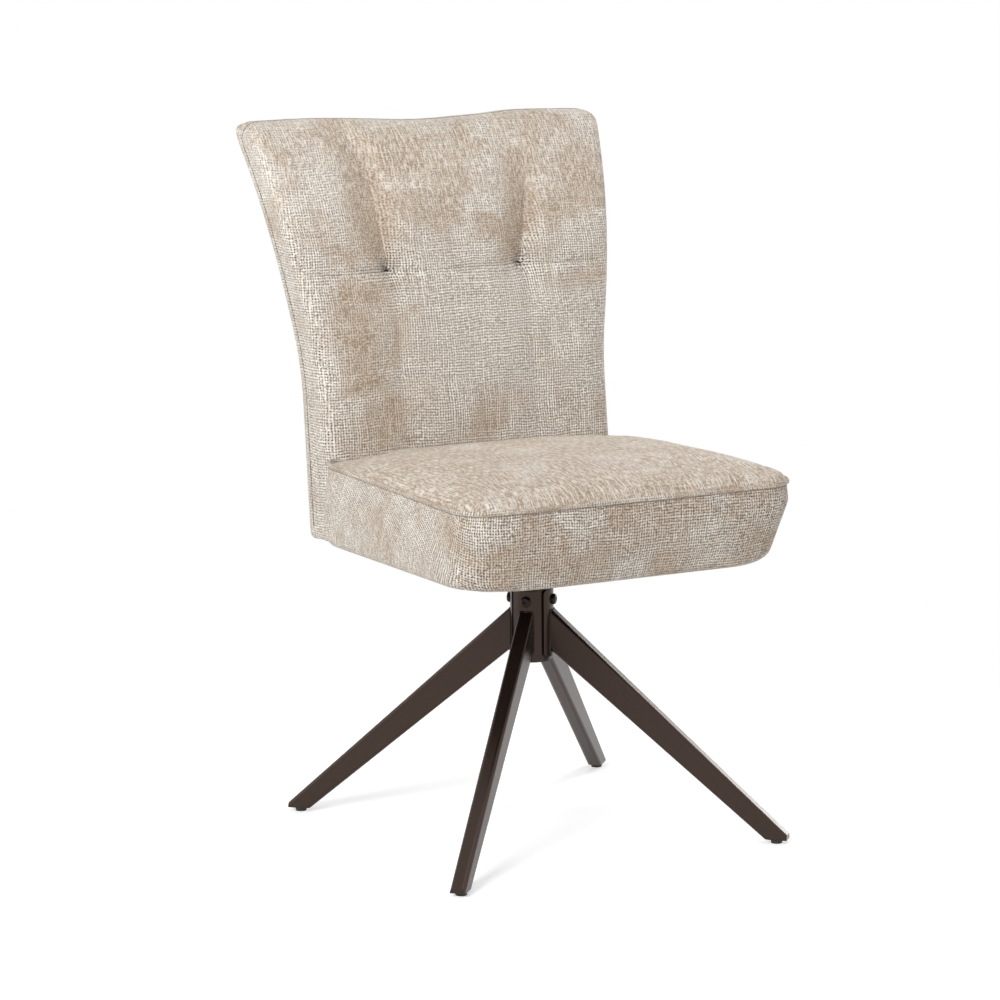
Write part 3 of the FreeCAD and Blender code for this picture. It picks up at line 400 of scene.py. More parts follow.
@dataclass(frozen=True)
class Chenille:
    """Woven chenille upholstery: thick soft yarns, open at the crossings, brushed in patches.

    It gives the eye a loose grid of pale yarn with dark pinholes, tan patches where the nap
    lies the other way, a faint shader sheen, and painted sheen: silver streaks in the base colour
    where the nap is long.
    """

    warp: float = 3.5 * MM
    weft: float = 3.7 * MM
    pale_yarn: str = "#eee9e0"
    pale_gap: str = "#b3a89c"
    tan_yarn: str = "#cdbeac"
    tan_gap: str = "#978371"
    hole: str = "#33251d"
    # Colour of the painted sheen, mixed into the base colour in streaks where the nap is long.
    silver: str = "#f3efe8"
    sheen: float = 0.2
    sheen_tint: str = "#efe9df"
    # How the yarns wander: scale and reach of each noise.
    wanders: tuple[tuple[float, float], ...] = ((16.0, 9 * MM), (190.0, 1.3 * MM))
    # Shares that brushing and flecks have in the tan patches.
    brush_share: float = 0.16
    fleck_share: float = 0.30
    # How far long nap and tan patches cover the holes, and how far specks and nap fill them.
    nap_cover: float = 0.8
    patch_cover: float = 0.7
    speck_fill: float = 0.6
    nap_fill: float = 0.3

    def threads(self, tree: bpy.types.NodeTree, place: bpy.types.NodeSocket) -> tuple:
        """Draws the two sets of yarns.

        Args:
            tree: The material's tree.
            place: The weave map, wandering a little.

        Returns:
            Sockets for the yarns' light and the depth of the holes.
        """
        yarns = []
        gaps = []
        for axis, pitch, most, stretch in ((0, self.warp, 1.15, (290.0, 12.0, 1.0)),
                                           (1, self.weft, 0.85, (12.0, 290.0, 1.0))):
            along = add(tree, "ShaderNodeSeparateXYZ", {0: place}, axis)
            turn = add(tree, "ShaderNodeMath", {0: along, 1: math.pi / pitch}, operation="MULTIPLY")
            wave = add(tree, "ShaderNodeMath", {0: turn}, operation="SINE")
            wave = add(tree, "ShaderNodeMath", {0: wave}, operation="ABSOLUTE")
            # Some yarns are thick and pale and others thin, more so in the warp: noise drawn out
            # along each yarn.
            drawn = add(tree, "ShaderNodeVectorMath", {0: place, 1: stretch}, operation="MULTIPLY")
            slub = add(tree, "ShaderNodeTexNoise",
                       {"Vector": drawn, "Scale": 1.0, "Detail": 2.0}, "Fac")
            slub = add(tree, "ShaderNodeMapRange",
                       {"Value": slub, "From Min": 0.30, "From Max": 0.74, "To Min": 0.1,
                        "To Max": most}, "Result")
            crest = add(tree, "ShaderNodeMath", {0: wave, 1: 1.5}, operation="POWER")
            yarns.append(add(tree, "ShaderNodeMath", {0: crest, 1: slub}, operation="MULTIPLY"))
            gaps.append(add(tree, "ShaderNodeMath", {0: 1.0, 1: wave}, operation="SUBTRACT"))
        light = add(tree, "ShaderNodeMath", {0: yarns[0], 1: yarns[1]}, operation="MAXIMUM")
        hole = add(tree, "ShaderNodeMath", {0: gaps[0], 1: gaps[1]}, operation="MULTIPLY")
        hole = add(tree, "ShaderNodeMapRange",
                   {"Value": hole, "From Min": 0.14, "From Max": 0.40}, "Result")
        return light, hole

    def material(self, name: str) -> bpy.types.Material:
        """Builds the material; it reads the piece's weave map and its nap and brush values.

        Args:
            name: The material's name.

        Returns:
            The material.
        """
        material, tree, shader = blank_material(name)
        cloth = add(tree, "ShaderNodeAttribute", {}, "Vector", attribute_name=WEAVE)
        nap = add(tree, "ShaderNodeAttribute", {}, "Fac", attribute_name=NAP)
        brush = add(tree, "ShaderNodeAttribute", {}, "Fac", attribute_name=BRUSH)
        place = cloth
        for scale, reach in self.wanders:
            wander = add(tree, "ShaderNodeTexNoise",
                         {"Vector": cloth, "Scale": scale, "Detail": 2.0}, "Color")
            push = add(tree, "ShaderNodeVectorMath", {0: wander, 1: (0.5, 0.5, 0.5)},
                       operation="SUBTRACT")
            push = add(tree, "ShaderNodeVectorMath", {0: push, "Scale": reach}, operation="SCALE")
            place = add(tree, "ShaderNodeVectorMath", {0: place, 1: push}, operation="ADD")
        light, hole = self.threads(tree, place)
        fleck = add(tree, "ShaderNodeTexNoise",
                    {"Vector": place, "Scale": 430.0, "Detail": 1.5, "Roughness": 0.6}, "Fac")
        patch = add(tree, "ShaderNodeTexNoise",
                    {"Vector": cloth, "Scale": 15.0, "Detail": 6.0, "Roughness": 0.68,
                     "Distortion": 0.6}, "Fac")
        patch = add(tree, "ShaderNodeMath", {0: brush, 1: self.brush_share, 2: patch},
                    operation="MULTIPLY_ADD")
        patch = add(tree, "ShaderNodeMath", {0: fleck, 1: self.fleck_share, 2: patch},
                    operation="MULTIPLY_ADD")
        patch = add(tree, "ShaderNodeMapRange",
                    {"Value": patch, "From Min": 0.54, "From Max": 0.80}, "Result")
        speck = add(tree, "ShaderNodeMapRange",
                    {"Value": fleck, "From Min": 0.38, "From Max": 0.62, "To Min": -0.55,
                     "To Max": 0.55}, "Result")
        light = add(tree, "ShaderNodeMath", {0: light, 1: speck}, operation="ADD", use_clamp=True)
        pale, tan = (
            add(tree, "ShaderNodeMix", {0: light, 6: srgb(gap), 7: srgb(yarn)}, 2, data_type="RGBA")
            for gap, yarn in ((self.pale_gap, self.pale_yarn), (self.tan_gap, self.tan_yarn)))
        colour = add(tree, "ShaderNodeMix", {0: patch, 6: pale, 7: tan}, 2, data_type="RGBA")
        # Painted sheen: silver streaks mixed into the base colour follow the warp where the nap is
        # long.
        drawn = add(tree, "ShaderNodeVectorMath", {0: place, 1: (340.0, 75.0, 1.0)},
                    operation="MULTIPLY")
        sheen_streak = add(tree, "ShaderNodeTexNoise", {"Vector": drawn, "Scale": 1.0, "Detail": 3.0},
                     "Fac")
        sheen_streak = add(tree, "ShaderNodeMapRange",
                     {"Value": sheen_streak, "From Min": 0.46, "From Max": 0.64, "To Max": 0.95},
                     "Result")
        sheen_streak = add(tree, "ShaderNodeMath", {0: sheen_streak, 1: nap}, operation="MULTIPLY")
        colour = add(tree, "ShaderNodeMix", {0: sheen_streak, 6: colour, 7: srgb(self.silver)}, 2,
                     data_type="RGBA")
        # The nap hides most holes where it is long or brushed over them.
        bare = add(tree, "ShaderNodeMath", {0: nap, 1: -self.nap_cover, 2: 1.0},
                   operation="MULTIPLY_ADD")
        shown = add(tree, "ShaderNodeMath", {0: patch, 1: -self.patch_cover, 2: bare},
                    operation="MULTIPLY_ADD", use_clamp=True)
        pit = hole
        for source, share in ((speck, self.speck_fill), (nap, self.nap_fill)):
            pit = add(tree, "ShaderNodeMath", {0: source, 1: -share, 2: pit},
                      operation="MULTIPLY_ADD")
        pit = add(tree, "ShaderNodeMapRange",
                  {"Value": pit, "From Min": 0.35, "From Max": 0.74}, "Result")
        pit = add(tree, "ShaderNodeMath", {0: pit, 1: shown}, operation="MULTIPLY")
        colour = add(tree, "ShaderNodeMix", {0: pit, 6: colour, 7: srgb(self.hole)}, 2,
                     data_type="RGBA")
        lift = add(tree, "ShaderNodeMath", {0: light, 1: hole}, operation="SUBTRACT")
        relief = add(tree, "ShaderNodeBump",
                     {"Height": lift, "Distance": 0.8 * MM, "Strength": 0.4})
        feed(tree, shader, {
            "Base Color": colour, "Normal": relief, "Roughness": 0.92,
            "Specular IOR Level": 0.12, "Sheen Weight": self.sheen, "Sheen Roughness": 0.45,
            "Sheen Tint": srgb(self.sheen_tint)})
        return material


def blank_material(name: str) -> tuple[bpy.types.Material, bpy.types.NodeTree, bpy.types.Node]:
    """Starts a node material.

    Args:
        name: The material's name.

    Returns:
        The material, its tree and its surface shader.
    """
    material = bpy.data.materials.new(name)
    material.use_nodes = True
    tree = material.node_tree
    return material, tree, tree.nodes["Principled BSDF"]


@dataclass(frozen=True)
class Plain:
    """A finish with a grain of its own: two tones, a bump and slightly uneven gloss.

    The grain is noise on the object's own coordinates, drawn out along one axis if stretched.
    """

    light: str
    dark: str
    grain: float
    relief: float
    roughness: float
    metallic: float = 0.0
    coat: float = 0.0
    specular: float = 0.5
    stretch: tuple[float, float, float] = (1.0, 1.0, 1.0)
    contrast: float = 0.25
    uneven: float = 0.08

    def material(self, name: str) -> bpy.types.Material:
        """Builds the material.

        Args:
            name: The material's name.

        Returns:
            The material.
        """
        material, tree, shader = blank_material(name)
        place = add(tree, "ShaderNodeTexCoord", {}, "Object")
        drawn = add(tree, "ShaderNodeMapping", {"Vector": place, "Scale": self.stretch})
        noise = add(tree, "ShaderNodeTexNoise",
                    {"Vector": drawn, "Scale": 1 / self.grain, "Detail": 4.0}, "Fac")
        share = add(tree, "ShaderNodeMapRange",
                    {"Value": noise, "From Min": 0.5 - self.contrast,
                     "From Max": 0.5 + self.contrast}, "Result")
        colour = add(tree, "ShaderNodeMix", {0: share, 6: srgb(self.dark), 7: srgb(self.light)}, 2,
                     data_type="RGBA")
        rough = add(tree, "ShaderNodeMapRange",
                    {"Value": noise, "To Min": self.roughness - self.uneven,
                     "To Max": self.roughness + self.uneven}, "Result")
        bumps = add(tree, "ShaderNodeBump",
                    {"Height": noise, "Distance": self.relief, "Strength": 0.6})
        feed(tree, shader, {
            "Base Color": colour, "Roughness": rough, "Normal": bumps,
            "Metallic": self.metallic, "Coat Weight": self.coat, "Coat Roughness": 0.25,
            "Specular IOR Level": self.specular})
        return material


@dataclass(frozen=True)
class Finishes:
    """Every finish of the chair, by the record's slot."""

    # Powder coat baked on steel: dark bronze, satin, with a fine orange peel.
    powder_coat: Plain = Plain("#3f312a", "#332721", 0.9 * MM, 0.03 * MM, 0.3, metallic=0.78,
                               coat=0.1)
    # Nylon, injection moulded: black and matt.
    glide_plastic: Plain = Plain("#1d1c1c", "#141414", 0.8 * MM, 0.02 * MM, 0.5)
    # Steel screw, black oxide: dark with a dull sheen.
    black_screw: Plain = Plain("#2d2320", "#1f1816", 0.6 * MM, 0.01 * MM, 0.35, metallic=0.7)
    # Zinc plate: grey and slightly cloudy.
    zinc_steel: Plain = Plain("#c3c6ca", "#9ea2a8", 2.0 * MM, 0.01 * MM, 0.34, metallic=1.0)
    # Ground bearing steel: bright, with grinding lines round the axis.
    bearing_steel: Plain = Plain("#cfcfd2", "#b5b5ba", 0.5 * MM, 0.005 * MM, 0.22, metallic=1.0,
                                 stretch=(1.0, 1.0, 6.0))
    # Acetal, moulded: milky white and a little waxy.
    acetal: Plain = Plain("#e9e7e0", "#dedbd2", 3.0 * MM, 0.01 * MM, 0.4)
    # Drawn spring wire: grey with lines along it.
    spring_steel: Plain = Plain("#a9abb0", "#85888e", 0.7 * MM, 0.01 * MM, 0.3, metallic=1.0)
    # Poplar plywood: pale brown with long grain across the chair.
    plywood: Plain = Plain("#d2ae82", "#a9835a", 3.0 * MM, 0.1 * MM, 0.7,
                           stretch=(0.08, 1.0, 1.0))
    # Needled felt: white fibres.
    felt: Plain = Plain("#efece4", "#d6d2c8", 1.2 * MM, 0.4 * MM, 0.95, specular=0.1)
    # Woven elastic webbing: black with ribs.
    webbing: Plain = Plain("#2a2a2b", "#161617", 1.0 * MM, 0.3 * MM, 0.85, specular=0.2,
                           stretch=(0.3, 1.0, 1.0))
    # Polyurethane foam: cream with fine open cells.
    foam: Plain = Plain("#efe8cf", "#d9cfae", 1.4 * MM, 0.5 * MM, 0.95, specular=0.1)
    # Spunbond cloth: black, thin, with a pressed dimple pattern.
    dust_cloth: Plain = Plain("#232222", "#121212", 1.6 * MM, 0.2 * MM, 0.9, specular=0.2)
    # Sewing thread: brown, darkened with painted shade for stitches in the shade of the seam.
    thread: Plain = Plain("#4d4038", "#332a25", 0.5 * MM, 0.1 * MM, 0.8)
    # The same thread as its lit copy, paler with painted light where it lies in the light: a shade
    # darker than the cloth.
    pale_thread: Plain = Plain("#85766a", "#65574d", 0.5 * MM, 0.1 * MM, 0.8)
    # Weld bead under the powder coat: as the coat, a little glossier on its ripples.
    weld: Plain = Plain("#3d302a", "#322722", 0.9 * MM, 0.03 * MM, 0.33, metallic=0.7, coat=0.2)


# Rows that follow a path


class PathTool:
    """Geometry node trees for what follows a path, and the carriers that run them."""

    def __init__(self) -> None:
        """Builds the two trees."""
        self.rows = self.row_tree()
        self.tubes = self.tube_tree()

    @staticmethod
    def start(name: str, sockets: dict[str, str]) -> tuple:
        """Starts a tree with named inputs, one of them Step, and turns the path into a curve.

        Args:
            name: The tree's name.
            sockets: Type of each input, by its name.

        Returns:
            The tree, its inputs' sockets, and the path as a curve with points at even steps.
        """
        tree = bpy.data.node_groups.new(name, "GeometryNodeTree")
        tree.interface.new_socket("Geometry", in_out="INPUT", socket_type="NodeSocketGeometry")
        for label, kind in sockets.items():
            tree.interface.new_socket(label, in_out="INPUT", socket_type=kind)
        tree.interface.new_socket("Geometry", in_out="OUTPUT", socket_type="NodeSocketGeometry")
        given = tree.nodes.new("NodeGroupInput").outputs
        curve = add(tree, "GeometryNodeMeshToCurve", {0: given["Geometry"]})
        curve = add(tree, "GeometryNodeResampleCurve", {"Curve": curve, "Length": given["Step"]},
                    mode="LENGTH")
        return tree, given, curve

    @staticmethod
    def end(tree: bpy.types.NodeTree, geometry: bpy.types.NodeSocket, material: object) -> None:
        """Realizes the instances, sets the material and closes the tree.

        Args:
            tree: The tree.
            geometry: What it made.
            material: The material input's socket.
        """
        real = add(tree, "GeometryNodeRealizeInstances", {"Geometry": geometry})
        done = add(tree, "GeometryNodeSetMaterial", {"Geometry": real, "Material": material})
        add(tree, "NodeGroupOutput", {0: done})

    def row_tree(self) -> bpy.types.NodeTree:
        """Beads or stitches at even steps along a path, each with its own slight size.

        Returns:
            The tree.
        """
        tree, given, steps = self.start("row_along_path", {
            "Step": "NodeSocketFloat", "Length": "NodeSocketFloat", "Width": "NodeSocketFloat",
            "Jitter": "NodeSocketFloat", "Seed": "NodeSocketInt", "Material": "NodeSocketMaterial"})
        ball = add(tree, "GeometryNodeMeshUVSphere", {"Segments": 8, "Rings": 5, "Radius": 0.5})
        ball = add(tree, "GeometryNodeSetShadeSmooth", {"Geometry": ball})
        tangent = add(tree, "GeometryNodeInputTangent", {})
        turn = add(tree, "FunctionNodeAlignRotationToVector", {"Vector": tangent}, axis="X")
        size = add(tree, "ShaderNodeCombineXYZ",
                   {0: given["Length"], 1: given["Width"], 2: given["Width"]})
        low = add(tree, "ShaderNodeMath", {0: 1.0, 1: given["Jitter"]}, operation="SUBTRACT")
        high = add(tree, "ShaderNodeMath", {0: 1.0, 1: given["Jitter"]}, operation="ADD")
        vary = add(tree, "FunctionNodeRandomValue", {"Min": low, "Max": high,
                   "Seed": given["Seed"]}, 1, data_type="FLOAT")
        size = add(tree, "ShaderNodeVectorMath", {0: size, "Scale": vary}, operation="SCALE")
        row = add(tree, "GeometryNodeInstanceOnPoints",
                  {"Points": steps, "Instance": ball, "Rotation": turn, "Scale": size})
        self.end(tree, row, given["Material"])
        return tree

    def tube_tree(self) -> bpy.types.NodeTree:
        """A covered cord along a path, with a weave map and a slightly uneven skin.

        Returns:
            The tree.
        """
        tree, given, curve = self.start("cord_along_path", {
            "Step": "NodeSocketFloat", "Radius": "NodeSocketFloat", "Uneven": "NodeSocketFloat",
            "Seed": "NodeSocketInt", "Material": "NodeSocketMaterial"})
        along = add(tree, "GeometryNodeSplineParameter", {}, "Length")
        curve = add(tree, "GeometryNodeStoreNamedAttribute",
                    {"Geometry": curve, "Name": "along", "Value": along}, domain="POINT",
                    data_type="FLOAT")
        ring = add(tree, "GeometryNodeCurvePrimitiveCircle",
                   {"Resolution": 16, "Radius": given["Radius"]})
        around = add(tree, "GeometryNodeSplineParameter", {}, "Length")
        ring = add(tree, "GeometryNodeStoreNamedAttribute",
                   {"Geometry": ring, "Name": "around", "Value": around}, domain="POINT",
                   data_type="FLOAT")
        tube = add(tree, "GeometryNodeCurveToMesh",
                   {"Curve": curve, "Profile Curve": ring, "Fill Caps": True})
        first = add(tree, "GeometryNodeInputNamedAttribute", {"Name": "along"}, data_type="FLOAT")
        second = add(tree, "GeometryNodeInputNamedAttribute", {"Name": "around"},
                     data_type="FLOAT")
        weave = add(tree, "ShaderNodeCombineXYZ", {0: first, 1: second})
        tube = add(tree, "GeometryNodeStoreNamedAttribute",
                   {"Geometry": tube, "Name": WEAVE, "Value": weave}, domain="POINT",
                   data_type="FLOAT_VECTOR")
        place = add(tree, "GeometryNodeInputPosition", {})
        noise = add(tree, "ShaderNodeTexNoise", {"Vector": place, "W": given["Seed"],
                    "Scale": 120.0, "Detail": 2.0}, 0, noise_dimensions="4D")
        noise = add(tree, "ShaderNodeMath", {0: noise, 1: 0.5}, operation="SUBTRACT")
        noise = add(tree, "ShaderNodeMath", {0: noise, 1: given["Uneven"]}, operation="MULTIPLY")
        normal = add(tree, "GeometryNodeInputNormal", {})
        shift = add(tree, "ShaderNodeVectorMath", {0: normal, "Scale": noise}, operation="SCALE")
        tube = add(tree, "GeometryNodeSetPosition", {"Geometry": tube, "Offset": shift})
        tube = add(tree, "GeometryNodeSetShadeSmooth", {"Geometry": tube})
        self.end(tree, tube, given["Material"])
        return tree

    @staticmethod
    def run(name: str, paths: list[np.ndarray], tree: bpy.types.NodeTree, values: dict):
        """Runs a tree on one or more paths and keeps the result as a plain mesh.

        Args:
            name: The new piece's name.
            paths: Points of each path, in metres.
            tree: The tree to run.
            values: The tree's inputs, by name.

        Returns:
            The new piece.
        """
        points = np.concatenate(paths)
        edges = []
        start = 0
        for path in paths:
            edges += [(start + i, start + i + 1) for i in range(len(path) - 1)]
            start += len(path)
        mesh = bpy.data.meshes.new(name + "_path")
        mesh.from_pydata([tuple(p) for p in points], edges, [])
        carrier = new_object(name + "_path", mesh)
        modifier = carrier.modifiers.new("rows", "NODES")
        modifier.node_group = tree
        for item in tree.interface.items_tree:
            if item.item_type == "SOCKET" and item.in_out == "INPUT" and item.name in values:
                modifier[item.identifier] = values[item.name]
        carrier.update_tag()
        bpy.context.view_layer.update()
        graph = bpy.context.evaluated_depsgraph_get()
        made = bpy.data.meshes.new_from_object(carrier.evaluated_get(graph))
        bpy.data.objects.remove(carrier)
        made.name = name
        return new_object(name, made)


# The upholstery's shapes


@dataclass
class BackForm:
    """The back's faces, worked out from a few sizes. Heights are above the floor."""

    axis_y: float
    bottom: float
    top: float
    reference: float = 440 * MM
    front: float = 148 * MM
    thickness: float = 78.5 * MM
    front_slope: float = math.radians(6.0)
    rear_slope: float = math.radians(4.75)
    bend: float = 640 * MM
    front_radius: float = 630 * MM
    rear_radius: float = 668 * MM
    half_width: float = 216 * MM
    flare_start: float = 560 * MM
    flare_radius: float = 550 * MM
    flare: float = math.radians(9.1)

    def bent(self, z: np.ndarray, start: float, slope: float, radius: float) -> np.ndarray:
        """A profile that is straight up to the bend and an arc above it.

        Args:
            z: Heights.
            start: Depth at the reference height.
            slope: Lean of the straight part.
            radius: Radius of the arc.

        Returns:
            Depth at each height.
        """
        straight = start + math.tan(slope) * (np.minimum(z, self.bend) - self.reference)
        sine = math.sin(slope) + np.maximum(z - self.bend, 0.0) / radius
        return straight + radius * (math.cos(slope) - np.sqrt(1 - sine * sine)) + self.axis_y

    def front_y(self, z: np.ndarray) -> np.ndarray:
        """Depth of the front face."""
        return self.bent(z, self.front, self.front_slope, self.front_radius)

    def rear_y(self, z: np.ndarray) -> np.ndarray:
        """Depth of the rear face."""
        return self.bent(z, self.front + self.thickness, self.rear_slope, self.rear_radius)

    def half(self, z: np.ndarray) -> np.ndarray:
        """Half width: upright, a bend, then a straight flare."""
        end = self.flare_start + self.flare_radius * math.sin(self.flare)
        inside = np.clip(z, self.flare_start, end) - self.flare_start
        bulge = self.flare_radius - np.sqrt(self.flare_radius**2 - inside**2)
        return self.half_width + bulge + math.tan(self.flare) * np.maximum(z - end, 0.0)


@dataclass
class BackCushion:
    """The back: a padded shell with two tufts, the folds above them and its seams."""

    form: BackForm
    side_round: float = 25 * MM
    front_round: float = 20 * MM
    rear_round: float = 9 * MM
    top_round: float = 24 * MM
    left_corner: float = 34 * MM
    right_corner: float = 17 * MM
    lean_left: float = 1.5 * MM
    bottom_round: float = 12 * MM
    tuft_x: float = 100 * MM
    tuft_z: float = 724 * MM
    tuft_depth: float = 24 * MM
    tuft_width: float = 30 * MM
    # How far the folds lean out, and the power and the share of a half wave that shape this.
    fold_lean: float = 28 * MM
    left_bend: float = 2.4
    right_wave: float = 0.78
    fold_depth: float = 18 * MM
    fold_left: float = 38 * MM
    fold_right: float = 15 * MM
    crease_depth: float = 6 * MM
    crease_width: float = 5 * MM
    pit_width: float = 9 * MM
    # Seams press a narrow line and a wide, soft valley: depth, and both widths.
    seam_depth: float = 2.2 * MM
    seam_widths: tuple[float, float] = (4 * MM, 26 * MM)
    upright_depth: float = 1.4 * MM
    upright_widths: tuple[float, float] = (3 * MM, 20 * MM)
    # The top corners' two radii blend within this distance of the middle.
    corner_blend: float = 80 * MM
    # The pressed shape fades at the sides by this share, and the lobes over this height.
    side_calm: float = 0.75
    lobe_depth: float = 80 * MM
    lobe_rise: float = 1.5 * MM
    lobe_x: float = 165 * MM
    lobe_width: float = 60 * MM
    dip: float = 4.5 * MM
    dip_width: float = 75 * MM
    left_lower: float = 2.4 * MM
    lean_heights: tuple[float, float] = (540 * MM, 700 * MM)
    # The rear panel is cut from another stretch of the cloth, this far along it.
    rear_weave: float = 1.7
    fixed_half: float = 142 * MM
    cell: float = 6 * MM
    fine_cell: float = 3 * MM
    fine_beside: float = 16 * MM
    fine_below: float = 14 * MM
    fine_above: float = 30 * MM
    side_lines: int = 4
    upper_lines: int = 29
    swell_most: float = 5 * MM
    # Patches of brushed nap: middle across, middle height, half width, half height, strength.
    patches: tuple[tuple[float, ...], ...] = (
        (-0.157, 0.640, 0.040, 0.085, 1.5), (-0.130, 0.530, 0.045, 0.050, 0.8),
        (-0.020, 0.860, 0.090, 0.050, 0.5), (0.175, 0.860, 0.070, 0.050, 0.7),
        (0.175, 0.700, 0.055, 0.016, 1.2), (-0.140, 0.700, 0.050, 0.016, 1.0),
        (0.010, 0.640, 0.080, 0.070, -0.7),
        (-0.215, 0.820, 0.040, 0.060, -0.5), (0.165, 0.590, 0.060, 0.060, -0.5),
        (0.020, 0.515, 0.070, 0.020, 0.5), (-0.040, 0.780, 0.050, 0.030, 0.5))

    def fold_x(self, z: np.ndarray, sign: float) -> np.ndarray:
        """Place across of a fold at a height above its tuft.

        Args:
            z: Heights.
            sign: -1 for the left fold and 1 for the right one.

        Returns:
            Places across, on the fold's own side.
        """
        share = np.clip((z - self.tuft_z) / (self.form.top - self.tuft_z), 0, 1)
        if sign < 0:
            return -self.tuft_x - self.fold_lean * share**self.left_bend
        return self.tuft_x + self.fold_lean * np.sin(self.right_wave * math.pi * share)

    def fold_strength(self, z: np.ndarray, sign: float) -> np.ndarray:
        """Share of the fold's depth at a height: the right fold dies out below the top edge."""
        up = z - self.tuft_z
        above = smooth_step(up, -12 * MM, 40 * MM)
        if sign < 0:
            return above * (1 - 0.3 * smooth_step(up, 80 * MM, 200 * MM))
        return above * (1 - 0.95 * smooth_step(up, 70 * MM, 165 * MM))

    def pressed(self, x: np.ndarray, z: np.ndarray) -> np.ndarray:
        """How far tufts, folds and seams press the front in.

        Args:
            x: Places across.
            z: Heights.

        Returns:
            Depths in metres.
        """
        up = z - self.tuft_z
        fold = np.zeros_like(x)
        for sign in (-1, 1):
            beside = x - self.fold_x(z, sign)
            opening = smooth_step(up, 0, 75 * MM)
            left_wall = self.fold_right + (self.fold_left - self.fold_right) * opening
            wall = np.where(beside < 0, bump(beside / left_wall, 1), bump(beside, self.fold_right))
            crease = bump(beside, self.crease_width) * (1 - 0.4 * smooth_step(up, 25 * MM, 90 * MM))
            depth = self.fold_depth * wall + self.crease_depth * crease
            fold = fold + depth * self.fold_strength(z, sign)
        reach = np.hypot(np.abs(x) - self.tuft_x, up * np.where(up > 0, 0.8, 1.25))
        wide = 0.5 * bump(reach, self.tuft_width)
        tuft = self.tuft_depth * (wide + 0.5 * bump(reach, self.pit_width))
        narrow, soft = self.seam_widths
        seam = self.seam_depth * (bump(up, narrow) + 1.2 * bump(up, soft))
        below = smooth_step(-up, 6 * MM, 40 * MM)
        upright = np.abs(x) - self.tuft_x
        narrow, soft = self.upright_widths
        line = self.upright_depth * (bump(upright, narrow) + 1.3 * bump(upright, soft))
        return fold + np.maximum(tuft - 0.55 * fold, 0) + seam + line * below

    def lines(self) -> tuple[np.ndarray, np.ndarray]:
        """Grid lines across and upwards, closer together round the tufts.

        Returns:
            Shares across, where 1 is the edge of the fixed middle and 2 the side, and heights.
        """
        form = self.form
        plain = np.arange(0, self.tuft_x - self.fine_beside, self.cell)
        fine = np.arange(plain[-1] + self.cell, self.fixed_half, self.fine_cell)
        inner = np.concatenate([plain, fine]) / self.fixed_half
        outer_count = int((form.half_width - self.fixed_half) / self.cell) + self.side_lines
        half = np.concatenate([inner, np.linspace(1, 2, outer_count)])
        low = np.arange(form.bottom, self.tuft_z - self.fine_below, self.cell)
        middle = np.arange(low[-1] + self.cell, self.tuft_z + self.fine_above, self.fine_cell)
        high = np.linspace(middle[-1] + self.cell, form.top, self.upper_lines)
        return np.concatenate([-half[:0:-1], half]), np.concatenate([low, middle, high])

    def skin(self, a: np.ndarray, d: np.ndarray, z: np.ndarray) -> np.ndarray:
        """Bends the block of cells into the shell, rounds its edges and presses the front in.

        Args:
            a: Shares across, as lines() gives them.
            d: Shares of the thickness, from 0 at the front to 1 at the rear.
            z: Heights.

        Returns:
            The points.
        """
        form = self.form
        extra = np.maximum(np.abs(a) - 1, 0) * (form.half(z) - self.fixed_half)
        x = np.sign(a) * (np.minimum(np.abs(a), 1) * self.fixed_half + extra)
        side_left = form.half(z) - np.abs(x)
        thick = form.rear_y(z) - form.front_y(z)
        from_front = d * thick
        from_rear = (1 - d) * thick
        turn = smooth_step(x, -self.corner_blend, self.corner_blend)
        top_round = self.left_corner + (self.right_corner - self.left_corner) * turn
        # How far each point is into the rounding of each edge: 0 outside it, 1 at the corner.
        q_front = np.clip(1 - from_front / self.front_round, 0, 1)
        q_rear = np.clip(1 - from_rear / self.rear_round, 0, 1)
        q_top = np.clip(1 - (form.top - z) / top_round, 0, 1)
        q_bottom = np.clip(1 - (z - form.bottom) / self.bottom_round, 0, 1)
        side_round = np.where(q_rear > 0, self.rear_round, self.side_round)
        q_side = np.clip(1 - side_left / side_round, 0, 1)
        length = np.sqrt(q_side**2 + (q_front + q_rear) ** 2 + (q_top + q_bottom) ** 2)
        length = np.maximum(length, 1.0)
        side_in = np.where(q_side > 0, side_round * (1 - q_side / length), side_left)
        front_in = np.where(q_front > 0, self.front_round * (1 - q_front / length), from_front)
        rear_in = np.where(q_rear > 0, self.rear_round * (1 - q_rear / length), from_rear)
        z = np.where(q_top > 0, form.top - top_round * (1 - q_top / length), z)
        z = np.where(q_bottom > 0, form.bottom + self.bottom_round * (1 - q_bottom / length), z)
        x = np.sign(a) * (form.half(z) - side_in)
        x = np.where((np.abs(a) <= 1) & (q_side == 0), a * self.fixed_half, x)
        thick = form.rear_y(z) - form.front_y(z)
        front_half = d < 0.5
        y = form.front_y(z) + np.where(front_half, front_in, thick - rear_in)
        on_front = (1 - smooth_step(front_in, 0, self.front_round)) * front_half
        y = y + self.pressed(x, z) * on_front * (1 - self.side_calm * q_side**2)
        z = z + self.lobes(x) * smooth_step(z, form.top - self.lobe_depth, form.top)
        x = x - self.lean_left * smooth_step(z, *self.lean_heights)
        return np.stack([x, y, z], axis=1)

